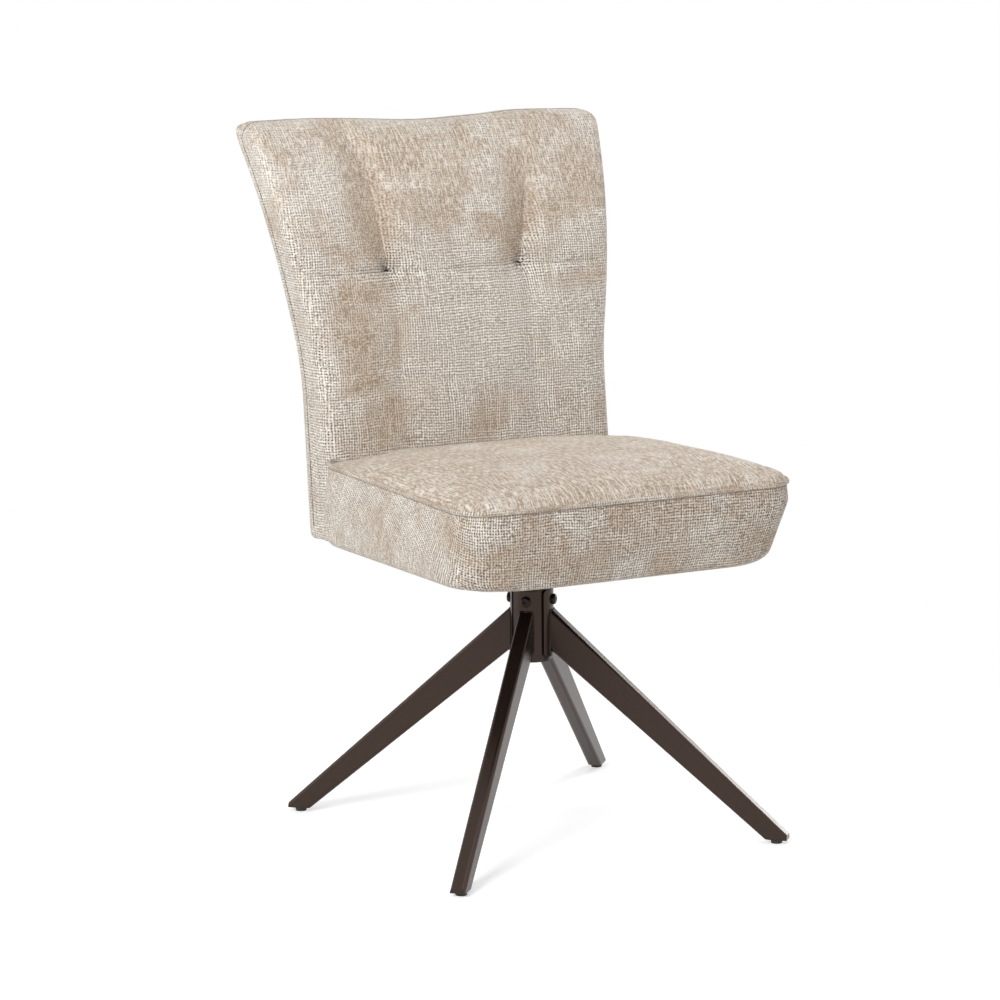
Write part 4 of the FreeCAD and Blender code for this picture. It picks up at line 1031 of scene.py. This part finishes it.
    def weave_map(self, points: np.ndarray, quads: list, sides: np.ndarray) -> np.ndarray:
        """Lays the cloth out flat, in metres, so that its weave runs on round the front's edges.

        Args:
            points: The shell's points.
            quads: Its faces.
            sides: Each face's side.

        Returns:
            Two numbers for each corner of each face.
        """
        x, y, z = points.T
        flat = np.array(quads)
        side = sides[:, None]
        deep = (y - self.form.front_y(z))[flat]
        u = x[flat]
        v = self.arc_height(z)[flat]
        outward = np.where(side == Side.LEFT, -1.0, 1.0)
        on_side = (side == Side.LEFT) | (side == Side.RIGHT)
        u = np.where(on_side, outward * (self.form.half(z)[flat] + deep), u)
        cap = (side == Side.TOP) | (side == Side.BOTTOM)
        v = np.where(cap, v + np.where(side == Side.TOP, deep, -deep), v)
        u = np.where(side == Side.REAR, u + self.rear_weave, u)
        return np.stack([u, v], axis=2).reshape(-1, 2)

    def nap(self, x: np.ndarray, z: np.ndarray) -> np.ndarray:
        """Length of the nap: long at the top, where it carries painted silver sheen, short at the
        foot, and cut back round the tufts, which shows more dark pinholes there: partly the weave
        opening, partly painted shade in the tuft dimples.

        Args:
            x: Places across.
            z: Heights.

        Returns:
            The value at each place, about -1 to 0.5.
        """
        value = 0.06 + 0.42 * smooth_step(z, 740 * MM, 860 * MM)
        value = value - 0.2 * (1 - smooth_step(z, 480 * MM, 580 * MM))
        away = np.hypot(np.abs(x) - self.tuft_x, (z - self.tuft_z) * 0.7)
        # Short nap round the tufts bares more dark pinholes: partly the open weave, partly painted
        # shade in the dimples.
        return value - 0.9 * bump(away, 16 * MM)

    def held(self, x: np.ndarray, z: np.ndarray, d: np.ndarray) -> np.ndarray:
        """Where seams, folds, tufts and the frame hold the cover, from 0 to 1.

        Args:
            x: Places across.
            z: Heights.
            d: Shares of the thickness.

        Returns:
            The value at each point.
        """
        top = self.form.top
        held = np.maximum(bump(z - self.tuft_z, 12 * MM), (d > 0.45) * 1.0)
        for sign in (-1, 1):
            beside = x - self.fold_x(z, sign)
            held = np.maximum(held, bump(beside, 14 * MM) * self.fold_strength(z, sign))
        below = 0.8 * (z < self.tuft_z) * bump(np.abs(x) - self.tuft_x, 8 * MM)
        foot = 1 - smooth_step(z, 480 * MM, 520 * MM)
        rim = smooth_step(z, top - 30 * MM, top - 8 * MM)
        for share in (below, foot, rim):
            held = np.maximum(held, share)
        return np.clip(held, 0, 1)

    def brushed(self, x: np.ndarray, z: np.ndarray) -> np.ndarray:
        """Where the nap is brushed to the tan side (above 0) or to the pale side (below 0), with
        tan strips of painted shade on the left wall of each fold.

        Args:
            x: Places across.
            z: Heights.

        Returns:
            The value at each place.
        """
        value = 0.65 * smooth_step(z, 740 * MM, 800 * MM) - 0.55
        for middle_x, middle_z, wide, high, strength in self.patches:
            spot = bump((x - middle_x) / wide, 1.0) * bump((z - middle_z) / high, 1.0)
            value = value + strength * spot
        # Painted shade: a tan strip on the left wall of each fold, which turns away from the key
        # lamp.
        for sign in (-1, 1):
            beside = x - self.fold_x(z, sign) + 18 * MM
            value = value + 1.5 * bump(beside, 22 * MM) * self.fold_strength(z, sign)
        return value

    def lobes(self, x: np.ndarray) -> np.ndarray:
        """Rise and fall of the top edge: two soft lobes with a dip between the folds."""
        rise = self.lobe_rise * bump(np.abs(x) - self.lobe_x, self.lobe_width)
        rise = rise - self.dip * bump(x, self.dip_width)
        return rise - self.left_lower * (1 - smooth_step(x, 90 * MM, 150 * MM))

    def arc_height(self, z: np.ndarray) -> np.ndarray:
        """Height measured along the bent front."""
        form = self.form
        sine = math.sin(form.front_slope) + np.maximum(z - form.bend, 0.0) / form.front_radius
        bent = form.front_radius * (np.arcsin(np.clip(sine, -1, 1)) - form.front_slope)
        return np.minimum(z, form.bend) / math.cos(form.front_slope) + bent

    def seam_paths(self) -> list[np.ndarray]:
        """Path of the seam across the front, from side to side through the tufts.

        Returns:
            One path.
        """
        reach = self.form.half(np.array(self.tuft_z)) - self.side_round
        x = np.linspace(-reach, reach, 120)
        z = np.full_like(x, self.tuft_z)
        return [np.stack([x, self.form.front_y(z) + self.pressed(x, z), z], axis=1)]

    def rim_paths(self) -> list[np.ndarray]:
        """Path of the seam between the side panel and the rear panel.

        Returns:
            One path, up one side, along the top and down the other.
        """
        form = self.form
        z = np.linspace(form.bottom + 20 * MM, form.top - self.top_round, 110)
        y = form.rear_y(z) - 2.2 * self.rear_round
        side = np.stack([form.half(z) + 0.1 * MM, y, z], axis=1)
        turn = np.linspace(0, math.pi / 2, 14)[1:]
        corner_x = form.half(z[-1:]) - self.side_round * (1 - np.cos(turn))
        corner_z = form.top - self.top_round * (1 - np.sin(turn))
        corner = np.stack([corner_x, np.full_like(turn, y[-1]), corner_z + 0.1 * MM], axis=1)
        top_x = np.linspace(corner_x[-1], 0, 40)[1:]
        top_z = form.top + self.lobes(top_x) + 0.1 * MM
        top = np.stack([top_x, np.full_like(top_x, y[-1]), top_z], axis=1)
        half = np.concatenate([side, corner, top])
        other = half[::-1][1:] * np.array([-1, 1, 1])
        return [np.concatenate([half, other])]

    def build(self, finish: bpy.types.Material) -> bpy.types.Object:
        """Makes the cushion.

        Args:
            finish: Its material.

        Returns:
            The piece.
        """
        across, heights = self.lines()
        depths = int(self.form.thickness / self.cell)
        grid, quads, sides = BoxGrid(len(across) - 1, depths, len(heights) - 1).build()
        d = grid[:, 1] / depths
        points = self.skin(across[grid[:, 0]], d, heights[grid[:, 2]])
        piece = quad_mesh("back_cushion", points, quads, self.weave_map(points, quads, sides))
        x, z = points[:, 0], points[:, 2]
        point_value(piece, NAP, self.nap(x, z))
        point_value(piece, BRUSH, self.brushed(x, z))
        swell(piece, self.held(x, z, d), self.swell_most)
        subdivide(piece)
        dress(piece, finish)
        return piece


@dataclass
class SeatCushion:
    """The seat: side panel with its turned-under edge, and the crowned top."""

    back: BackForm
    bottom: float
    half_width: float = 240 * MM
    front: float = -276 * MM
    side_height: float = 105 * MM
    widest_below: float = 24 * MM
    side_taper: float = 12 * MM
    front_taper: float = 20 * MM
    bottom_round: float = 17 * MM
    welt_inset: float = 3.5 * MM
    # The top slopes up to the rear, and the tilt begins this far above the bottom.
    slope: float = math.radians(1.7)
    slope_start: float = 15 * MM
    crown: float = 31.5 * MM
    crown_rear: float = 4.5 * MM
    bottom_corner: float = 66 * MM
    top_corner: float = 46 * MM
    # How far the underside lies above the turned-under rim.
    under_rise: float = 1.6 * MM
    rear_right_drop: float = 5.0 * MM
    left_lift: float = 2.0 * MM
    rear_corner: float = 6 * MM
    rear_corner_top: float = 56 * MM
    gap: float = 0.8 * MM
    welt_sink: float = 9 * MM
    piping: float = 2.9 * MM
    # How far the piping stands out from the seam, and how far below it the stitches run.
    piping_out: float = 0.9 * MM
    stitch_drop: float = 4.2 * MM
    swell_most: float = 4 * MM
    bias: float = math.radians(32)
    bias_start: float = 20 * MM
    bias_blend: float = 110 * MM
    # The top panel is cut from another stretch of the cloth, this far along it.
    top_weave: float = 3.0
    crown_reach: tuple[float, float] = (9 * MM, 38 * MM)
    # How far the crown dips inside the rear corners.
    left_tuck: float = 11 * MM
    right_tuck: float = 3 * MM
    # Nap and brushing on the top and on the other sides, and what the left side adds to them.
    # The long nap on the top carries painted silver highlights; the left side, which faces the key
    # lamp, is painted paler, with more of that painted sheen.
    nap: tuple[float, float] = (0.55, -0.4)
    nap_left: float = 0.25
    brush: tuple[float, float] = (0.75, 0.15)
    brush_left: float = -0.45
    columns: int = 80
    depths: int = 70
    panel_rows: int = 16

    def outline(self, z: np.ndarray) -> tuple[np.ndarray, ...]:
        """Half width, front, corner radius and tilt of the level section at a height.

        Args:
            z: Heights before the tilt.

        Returns:
            Half width, front, corner radius and the tangent of the tilt.
        """
        widest = self.bottom + self.side_height - self.widest_below
        low = np.clip((widest - z) / (widest - self.bottom), 0, 1)
        turn = np.clip(self.bottom_round - (z - self.bottom), 0, self.bottom_round)
        under = self.bottom_round - np.sqrt(self.bottom_round**2 - turn**2)
        high = np.clip((z - widest) / self.widest_below, 0, 1) * self.welt_inset
        room = self.side_height - self.slope_start
        raised = np.clip((z - self.bottom - self.slope_start) / room, 0, 1)
        half = self.half_width - self.side_taper * low - under - high
        front = self.front + self.back.axis_y + self.front_taper * low + under + high
        corner = self.bottom_corner + (self.top_corner - self.bottom_corner) * raised
        return half, front, corner, np.tan(self.slope * raised)

    def place(self, a: np.ndarray, b: np.ndarray, z: np.ndarray) -> tuple[np.ndarray, ...]:
        """Puts a square's points into the rounded section at a height.

        Args:
            a: From -1 at the left to 1 at the right.
            b: From 0 at the front to 1 at the rear.
            z: Heights before the tilt.

        Returns:
            x, y and the tilt's rise.
        """
        half, front, corner, tilt = self.outline(z)
        rear_z = z + tilt * (self.back.front_y(z) - front)
        rear = self.back.front_y(rear_z) - self.gap
        x = a * half
        y = front + b * (rear - front)
        raised = smooth_step(z, self.bottom + 20 * MM, self.bottom + self.side_height)
        rear_corner = self.rear_corner + (self.rear_corner_top - self.rear_corner) * raised
        x, y = round_corner(x, y, half, front, 1.0, corner)
        x, y = round_corner(x, y, half, rear, -1.0, rear_corner)
        return x, y, tilt * (y - self.front - self.back.axis_y)

    def build(self, finish: bpy.types.Material) -> bpy.types.Object:
        """Makes the cushion.

        Args:
            finish: Its material.

        Returns:
            The piece.
        """
        turns = np.radians(np.arange(0, 91, 15))
        low = self.bottom + self.bottom_round * (1 - np.cos(turns))
        welt = self.bottom + self.side_height
        heights = np.concatenate([low, np.linspace(low[-1], welt, self.panel_rows)[1:]])
        grid, quads, sides = BoxGrid(self.columns, self.depths, len(heights) - 1).build()
        a = 2 * grid[:, 0] / self.columns - 1
        b = grid[:, 1] / self.depths
        level = heights[grid[:, 2]]
        on_top = grid[:, 2] == len(heights) - 1
        on_bottom = grid[:, 2] == 0
        x, y, rise = self.place(a, b, level)
        half, front, _, _ = self.outline(level)
        edge_x = (1 - np.abs(a)) * half
        edge_y = b * (self.back.front_y(level) - front)
        high = smooth_step(level, self.bottom + 40 * MM, welt)
        z = level + rise + np.where(on_top, self.crowned(x, b, edge_x, edge_y), 0)
        z = z - self.drop(b, x) * high
        turned_in = np.minimum(edge_x, edge_y)
        rim = np.where(on_bottom, 1 - smooth_step(turned_in, 4 * MM, 22 * MM), 1)
        z = z + self.left_lift * smooth_step(-x, 100 * MM, 200 * MM) * (1 - high) * rim
        inside = smooth_step(turned_in, 25 * MM, 31 * MM)
        z = z + np.where(on_bottom, self.under_rise * inside, 0)
        points = np.stack([x, y, z], axis=1)
        uv = self.weave_map(points, quads, sides, grid, heights)
        piece = quad_mesh("seat_cushion", points, quads, uv)
        # Painted light: the left side, which faces the key lamp, turns paler and takes more painted
        # silver sheen.
        left = smooth_step(b, 0.08, 0.25) * (x < -150 * MM) * (~on_top)
        point_value(piece, NAP, np.where(on_top, *self.nap) + self.nap_left * left)
        point_value(piece, BRUSH, np.where(on_top, *self.brush) + self.brush_left * left)
        boundary = (np.abs(level - welt) < 1 * MM) & ((np.abs(a) > 0.995) | (b < 0.005))
        held = np.where(boundary, 1.0, 0.0)
        for share in (bump(turned_in, 8 * MM) * on_top,
                      1 - smooth_step(level, self.bottom, self.bottom + 30 * MM),
                      smooth_step(b, 0.90, 0.97), on_bottom * 1.0):
            held = np.maximum(held, share)
        swell(piece, np.clip(held, 0, 1), self.swell_most)
        subdivide(piece)
        dress(piece, finish)
        return piece

    def drop(self, b: np.ndarray, x: np.ndarray) -> np.ndarray:
        """How far the rear right corner of the top hangs."""
        return self.rear_right_drop * smooth_step(b, 0.68, 1.0) * smooth_step(x, 90 * MM, 200 * MM)

    def crowned(self, x: np.ndarray, b: np.ndarray, edge_x: np.ndarray,
                edge_y: np.ndarray) -> np.ndarray:
        """Height of the crown above the welt: steep at the welt, flat inside, lower at the rear.

        Args:
            x: Places across.
            b: Shares of the depth, from 0 at the front to 1 at the rear.
            edge_x: Distance from the nearer side.
            edge_y: Distance from the front.

        Returns:
            The height at each point.
        """
        steep, wide = self.crown_reach

        def swelling(distance: np.ndarray) -> np.ndarray:
            """Share of the crown's rise at a distance from the welt."""
            return 1 - 0.5 * np.exp(-distance / steep) - 0.5 * np.exp(-distance / wide)

        along_x = np.maximum(swelling(edge_x), 1e-6)
        along_y = np.maximum(swelling(edge_y), 1e-6)
        share = along_x * along_y / (along_x + along_y - along_x * along_y)
        height = self.crown + (self.crown_rear - self.crown) * b**1.5
        tuck = self.left_tuck * smooth_step(b, 0.70, 1.0) * smooth_step(-x, 90 * MM, 215 * MM)
        right = smooth_step(b, 0.9, 1.0) * smooth_step(x, 130 * MM, 230 * MM)
        return (height - tuck - self.right_tuck * right) * share

    def weave_map(self, points: np.ndarray, quads: list, sides: np.ndarray, grid: np.ndarray,
                  heights: np.ndarray) -> np.ndarray:
        """Lays the cloth out flat, in metres; the side panels turn to the bias past the corners.

        Args:
            points: The cushion's points.
            quads: Its faces.
            sides: Each face's side.
            grid: The points' numbers along each axis.
            heights: Heights of the grid's levels.

        Returns:
            Two numbers for each corner of each face.
        """
        x, y, z = points.T
        flat = np.array(quads)
        side = sides[:, None]
        ring = np.argmin(np.abs(heights - self.bottom - self.side_height + self.widest_below))
        front_arc, side_arc = self.ring_length(float(heights[ring]))
        is_front = side == Side.FRONT
        is_left = side == Side.LEFT
        is_right = side == Side.RIGHT
        boxing = is_front | is_left | is_right
        v = np.where(boxing | (side == Side.REAR), z[flat], y[flat])
        u = np.where(is_front, front_arc[grid[:, 0]][flat], x[flat])
        wrap = front_arc[-1] + side_arc[grid[:, 1]][flat]
        u = np.where(is_left, -wrap, u)
        u = np.where(is_right, wrap, u)
        past = np.maximum(np.abs(u) - front_arc[-1] + self.bias_start, 0)
        angle = self.bias * smooth_step(past, 0, self.bias_blend)
        middle = self.bottom + self.side_height / 2
        high = v - middle
        turned_u = past * np.cos(angle) + high * np.sin(angle)
        turned_v = high * np.cos(angle) - past * np.sin(angle)
        near = np.minimum(np.abs(u), front_arc[-1] - self.bias_start)
        turned = boxing & (past > 0)
        v = np.where(turned, turned_v + middle, v)
        u = np.where(turned, np.sign(u) * (near + turned_u), u)
        u = np.where(side == Side.TOP, u + self.top_weave, u)
        return np.stack([u, v], axis=2).reshape(-1, 2)

    def ring_length(self, level: float) -> tuple[np.ndarray, np.ndarray]:
        """Lengths along the side panel, which runs round the front corners.

        Args:
            level: Height of the ring.

        Returns:
            Length from the middle for each point of the front, and from the corner for each
            point of a side.
        """
        across = np.linspace(-1, 1, self.columns + 1)
        x, y, _ = self.place(across, np.zeros_like(across), np.full_like(across, level))
        steps = np.concatenate([[0], np.cumsum(np.hypot(np.diff(x), np.diff(y)))])
        deep = np.linspace(0, 1, self.depths + 1)
        side_x, side_y, _ = self.place(np.ones_like(deep), deep, np.full_like(deep, level))
        side = np.concatenate([[0], np.cumsum(np.hypot(np.diff(side_x), np.diff(side_y)))])
        return steps - steps[-1] / 2, side

    def welt_path(self, out: float, drop: float) -> np.ndarray:
        """Path round the welt, from the left rear over the front to the right rear.

        Both ends sink between the seat and the back.

        Args:
            out: How far outside the welt.
            drop: How far below it.

        Returns:
            The path.
        """
        level = self.bottom + self.side_height - drop
        steps = 400
        ends = 30
        share = np.linspace(0, 1, steps)
        side = np.full(steps, level)
        short = np.full(ends, level)
        turn = 1 - self.rear_corner_top / self.half_width * np.linspace(1, 0, ends)
        start = self.place(-turn, np.ones(ends), short)
        end = self.place(turn[::-1], np.ones(ends), short)
        left = self.place(np.full(steps, -1.0), 1 - share, side)
        front = self.place(2 * share - 1, np.zeros(steps), side)
        right = self.place(np.full(steps, 1.0), share, side)
        parts = (start, left, front, right, end)
        x, y, rise = (np.concatenate([part[i][:-1] for part in parts]) for i in range(3))
        sunk = np.zeros(len(x))
        sunk[: ends - 1] = self.welt_sink * np.linspace(1, 0, ends - 1)
        sunk[1 - ends :] = self.welt_sink * np.linspace(0, 1, ends - 1)
        rise = rise - sunk
        heading = np.stack([np.gradient(x), np.gradient(y)], axis=1)
        heading /= np.maximum(np.linalg.norm(heading, axis=1, keepdims=True), 1e-9)
        x = x + heading[:, 1] * out
        y = y - heading[:, 0] * out
        share = (y - self.front - self.back.axis_y) / (self.back.front_y(level) - self.front)
        return np.stack([x, y, level + rise - self.drop(share, x)], axis=1)


@dataclass
class UndersideCloth:
    """Black dust cloth stapled under the seat."""

    low: Vector
    high: Vector
    corner: float = 38 * MM
    thickness: float = 0.5 * MM
    sag: float = 1.4 * MM
    clearance: float = 0.15 * MM
    plate: float = 100 * MM
    axis_y: float = 0.0
    count: int = 90

    def build(self, finish: bpy.types.Material) -> bpy.types.Object:
        """Makes the cloth.

        Args:
            finish: Its material.

        Returns:
            The piece.
        """
        count = self.count
        half = (self.high.x - self.low.x) / 2
        depth = self.high.y - self.low.y
        share = np.linspace(0, 1, count)
        a, b = np.meshgrid(2 * share - 1, share, indexing="ij")
        x = a * half
        y = self.low.y + b * depth
        x, y = round_corner(x, y, half, self.low.y, 1.0, self.corner)
        edge = np.minimum(half - np.abs(x), np.minimum(y - self.low.y, self.high.y - y))
        plate = np.maximum(np.abs(x), np.abs(y - self.axis_y)) - self.plate
        free = smooth_step(edge, 12 * MM, 50 * MM) * smooth_step(plate, 2 * MM, 40 * MM)
        wave = 0.7 + 0.3 * np.sin(x * 60 + 2 * np.sin(y * 40)) * np.cos(y * 50)
        z = self.high.z - self.thickness - self.clearance - self.sag * free * wave
        points = np.stack([x, y, z], axis=2).reshape(-1, 3)
        quads = []
        for i in range(count - 1):
            for j in range(count - 1):
                first = i * count + j
                quads.append((first, first + 1, first + count + 1, first + count))
        piece = quad_mesh("underside_dust_cloth", points, quads, None)
        thick = piece.modifiers.new("thickness", "SOLIDIFY")
        thick.thickness = self.thickness
        thick.offset = -1.0
        dress(piece, finish)
        return piece


@dataclass
class LegWelds:
    """Weld beads where each leg meets its bracket."""

    axis_y: float
    shell_radius: float = 28.5 * MM
    half_width: float = 10 * MM
    top: float = 293 * MM
    bottom: float = 238.5 * MM
    bead: float = 2.6 * MM
    spacing: float = 1.2 * MM
    # How far the path keeps off the leg's sides and off the shell.
    off_leg: float = 0.2 * MM
    off_shell: float = 0.4 * MM

    def paths(self) -> list[np.ndarray]:
        """Paths down both sides of each leg and across its top and underside.

        Returns:
            One closed-looking path for each leg.
        """
        made = []
        half = self.half_width + self.off_leg
        for angle in (-45, -135, 135, 45):
            turn = math.radians(angle)
            down = np.linspace(self.top - 4 * MM, self.bottom + 3 * MM, 40)
            reach = math.sqrt(self.shell_radius**2 - half**2) + self.off_shell
            one = np.stack([np.full(40, reach), np.full(40, half), down], axis=1)
            over = np.linspace(half, -half, 16)[1:-1]
            under_x = np.sqrt(self.shell_radius**2 - over**2) + self.off_shell
            below = np.stack([under_x, over, np.full(14, self.bottom)], axis=1)
            above = np.stack([under_x[::-1], over[::-1], np.full(14, self.top)], axis=1)
            two = one[::-1] * np.array([1, -1, 1])
            ring = np.concatenate([one, below, two, above, one[:1]])
            x = ring[:, 0] * math.cos(turn) - ring[:, 1] * math.sin(turn)
            y = ring[:, 0] * math.sin(turn) + ring[:, 1] * math.cos(turn)
            made.append(np.stack([x, y + self.axis_y, ring[:, 2]], axis=1))
        return made


# Studio


@dataclass
class Studio:
    """Camera, lamps and pale floor."""

    azimuth: float = math.radians(-28.4988)
    elevation: float = math.radians(9.5751)
    roll: float = math.radians(-0.5945)
    place: tuple[float, float, float] = (-1.98872, -3.604377, 1.12740)
    lens: float = 115.2
    floor_lift: float = 0.38
    shadow_reach: tuple[float, float] = (0.55, 1.1)
    floor_half: float = 12.0
    floor_grey: float = 0.86
    soft_light: float = 0.26
    # Name, place, aim, size and power in watts of each lamp.
    lamps: tuple[tuple, ...] = (
        ("key", (-2.8, -1.9, 2.1), (0, 0, 0.55), (1.2, 1.2), 95),
        ("fill", (2.4, -3.0, 1.6), (0, 0, 0.5), (2.4, 2.4), 30),
        ("top", (0.2, -0.6, 3.2), (0, 0, 0.4), (2.0, 2.0), 22),
        ("left_strip", (-2.2, 0.9, 1.0), (0, 0, 0.35), (0.3, 2.2), 12),
        ("right_strip", (1.9, 0.7, 1.1), (0, 0, 0.2), (0.25, 2.0), 16),
        ("rear", (1.2, 3.0, 2.0), (0, 0, 0.5), (2.0, 2.0), 30))

    def camera(self) -> None:
        """Puts the camera at the photograph's place."""
        data = bpy.data.cameras.new("camera")
        data.lens = self.lens
        data.sensor_width = 36.0
        back = Vector((math.sin(self.azimuth) * math.cos(self.elevation),
                       -math.cos(self.azimuth) * math.cos(self.elevation),
                       math.sin(self.elevation)))
        right = (-back).cross(Vector((0, 0, 1))).normalized()
        up = right.cross(-back)
        cosine = math.cos(self.roll)
        sine = math.sin(self.roll)
        turned_right = right * cosine + up * sine
        turned_up = up * cosine - right * sine
        rows = [[turned_right[i], turned_up[i], back[i], self.place[i]] for i in range(3)]
        obj = bpy.data.objects.new("camera", data)
        obj.matrix_world = Matrix(rows + [[0, 0, 0, 1]])
        bpy.context.scene.collection.objects.link(obj)
        bpy.context.scene.camera = obj

    def lamp(self, name: str, place: tuple, aim: tuple, size: tuple, power: float) -> None:
        """Adds a soft rectangular lamp.

        Args:
            name: The lamp's name.
            place: Where it stands.
            aim: What it points at.
            size: Its width and height.
            power: Its power in watts.
        """
        data = bpy.data.lights.new(name, "AREA")
        data.shape = "RECTANGLE"
        data.size, data.size_y = size
        data.energy = power
        obj = bpy.data.objects.new(name, data)
        obj.location = place
        obj.rotation_mode = "QUATERNION"
        obj.rotation_quaternion = (Vector(aim) - Vector(place)).to_track_quat("-Z", "Y")
        bpy.context.scene.collection.objects.link(obj)

    @staticmethod
    def looking(tree: bpy.types.NodeTree) -> bpy.types.NodeSocket:
        """Tells rays that show a surface, straight, in gloss or through glass, from lighting.

        Args:
            tree: The tree that asks.

        Returns:
            Socket that is 1 for such rays and 0 for the others.
        """
        path = tree.nodes.new("ShaderNodeLightPath")
        seen = path.outputs["Is Camera Ray"]
        for kind in ("Is Glossy Ray", "Is Transmission Ray"):
            seen = add(tree, "ShaderNodeMath", {0: seen, 1: path.outputs[kind]},
                       operation="MAXIMUM")
        return seen

    def world(self) -> None:
        """White to the camera, in gloss and through glass; a plain soft light otherwise."""
        world = bpy.data.worlds.new("studio")
        bpy.context.scene.world = world
        world.use_nodes = True
        tree = world.node_tree
        tree.nodes.clear()
        seen = self.looking(tree)
        soft = add(tree, "ShaderNodeBackground",
                   {"Color": (1, 1, 1, 1), "Strength": self.soft_light})
        white = add(tree, "ShaderNodeBackground", {"Color": (1, 1, 1, 1), "Strength": 1.0})
        both = add(tree, "ShaderNodeMixShader", {0: seen, 1: soft, 2: white})
        add(tree, "ShaderNodeOutputWorld", {"Surface": both})

    def floor(self) -> None:
        """A wide pale floor: white to the camera, with the chair's soft shadow near it.

        It is clear from below, so that the chair's underside can be looked at.
        """
        half = self.floor_half
        corners = [(-half, -half, 0), (half, -half, 0), (half, half, 0), (-half, half, 0)]
        obj = quad_mesh("floor", np.array(corners, float), [(0, 1, 2, 3)], None)
        material, tree, _ = blank_material("pale studio floor")
        tree.nodes.clear()
        seen = self.looking(tree)
        grey = self.floor_grey
        matt = add(tree, "ShaderNodeBsdfDiffuse", {"Color": (grey, grey, grey, 1)})
        lift = add(tree, "ShaderNodeMath", {0: seen, 1: self.floor_lift}, operation="MULTIPLY")
        glow = add(tree, "ShaderNodeEmission", {"Color": (1, 1, 1, 1), "Strength": lift})
        near = add(tree, "ShaderNodeAddShader", {0: matt, 1: glow})
        place = add(tree, "ShaderNodeTexCoord", {}, "Object")
        away = add(tree, "ShaderNodeVectorMath", {0: place}, "Value", operation="LENGTH")
        share = add(tree, "ShaderNodeMapRange",
                    {"Value": away, "From Min": self.shadow_reach[0],
                     "From Max": self.shadow_reach[1]}, "Result")
        share = add(tree, "ShaderNodeMath", {0: share, 1: seen}, operation="MULTIPLY")
        far = add(tree, "ShaderNodeEmission", {"Color": (1, 1, 1, 1), "Strength": 1.0})
        both = add(tree, "ShaderNodeMixShader", {0: share, 1: near, 2: far})
        below = add(tree, "ShaderNodeNewGeometry", {}, "Backfacing")
        clear = add(tree, "ShaderNodeBsdfTransparent", {})
        both = add(tree, "ShaderNodeMixShader", {0: below, 1: both, 2: clear})
        add(tree, "ShaderNodeOutputMaterial", {"Surface": both})
        dress(obj, material)
        obj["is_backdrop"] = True

    def build(self) -> None:
        """Sets up camera, lamps, world and floor."""
        self.camera()
        self.world()
        self.floor()
        for lamp in self.lamps:
            self.lamp(*lamp)
        bpy.context.scene.view_settings.view_transform = "Standard"


def main() -> None:
    """Builds the chair's looks around the frame."""
    logging.basicConfig(level=logging.INFO, format="%(name)s: %(message)s")
    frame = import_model()
    axis_y = frame["joints"][0]["pos_m"][1]
    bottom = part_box("seat_cover_sides")[0].z
    Studio().build()

    finishes = Finishes()
    made = {name: getattr(finishes, name).material(name) for name in finishes.__dataclass_fields__}
    made["chenille"] = Chenille().material("chenille")
    for part in frame["record"]["subparts"]:
        dress(frame["nodes"][part["node"]], made[part["material_slot"]])
    tool = PathTool()

    form = BackForm(axis_y, bottom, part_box("back_cover_front")[1].z)
    back = BackCushion(form)
    shell = ride(back.build(made["chenille"]), "seat", "chenille", "back_cover_front",
                 "back_cover_rear", "back_foam", "back_wadding")
    fine = {"Step": 3.6 * MM, "Length": 2.8 * MM, "Width": 0.8 * MM, "Jitter": 0.15,
            "Seed": 3, "Material": made["pale_thread"]}
    # The rim's stitches take the thread that is darkened with painted shade.
    shaded_stitches = {**fine, "Length": 3.0 * MM, "Width": 1.3 * MM, "Material": made["thread"]}
    ride(tool.run("back_seam_stitches", settle(back.seam_paths(), shell, 0.05 * MM),
                  tool.rows, fine), "seat", "chenille")
    ride(tool.run("back_rim_stitches", settle(back.rim_paths(), shell, 0.1 * MM),
                  tool.rows, shaded_stitches), "seat", "chenille")

    seat = SeatCushion(form, bottom)
    pad = ride(seat.build(made["chenille"]), "seat", "chenille", "seat_cover_sides",
               "seat_cover_top", "seat_foam_surround", "seat_foam_topper")
    tube = {"Step": 3 * MM, "Radius": seat.piping, "Uneven": 0.5 * MM, "Seed": 5,
            "Material": made["chenille"]}
    ride(tool.run("seat_welt", [seat.welt_path(seat.piping_out, 0.0)], tool.tubes, tube),
         "seat", "chenille", "seat_piping")
    # The stitches stop short of the path's ends, which sink between the seat and the back.
    path = seat.welt_path(0.0, seat.stitch_drop)[WELT_ENDS:-WELT_ENDS]
    below = settle([path], pad, 0.1 * MM)
    ride(tool.run("seat_welt_stitches", below, tool.rows, fine), "seat", "chenille")

    low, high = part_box("underside_cloth")
    cloth = UndersideCloth(low, high, axis_y=axis_y)
    piece = ride(cloth.build(made["dust_cloth"]), "seat", "dust_cloth", "underside_cloth")

    welds = LegWelds(axis_y)
    beads = {"Step": welds.spacing, "Length": 2.2 * MM, "Width": welds.bead, "Jitter": 0.12,
             "Seed": 11, "Material": made["weld"]}
    ride(tool.run("leg_weld_beads", welds.paths(), tool.rows, beads), "base", "powder_coat")

    low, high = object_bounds()


if __name__ == "__main__":
    main()
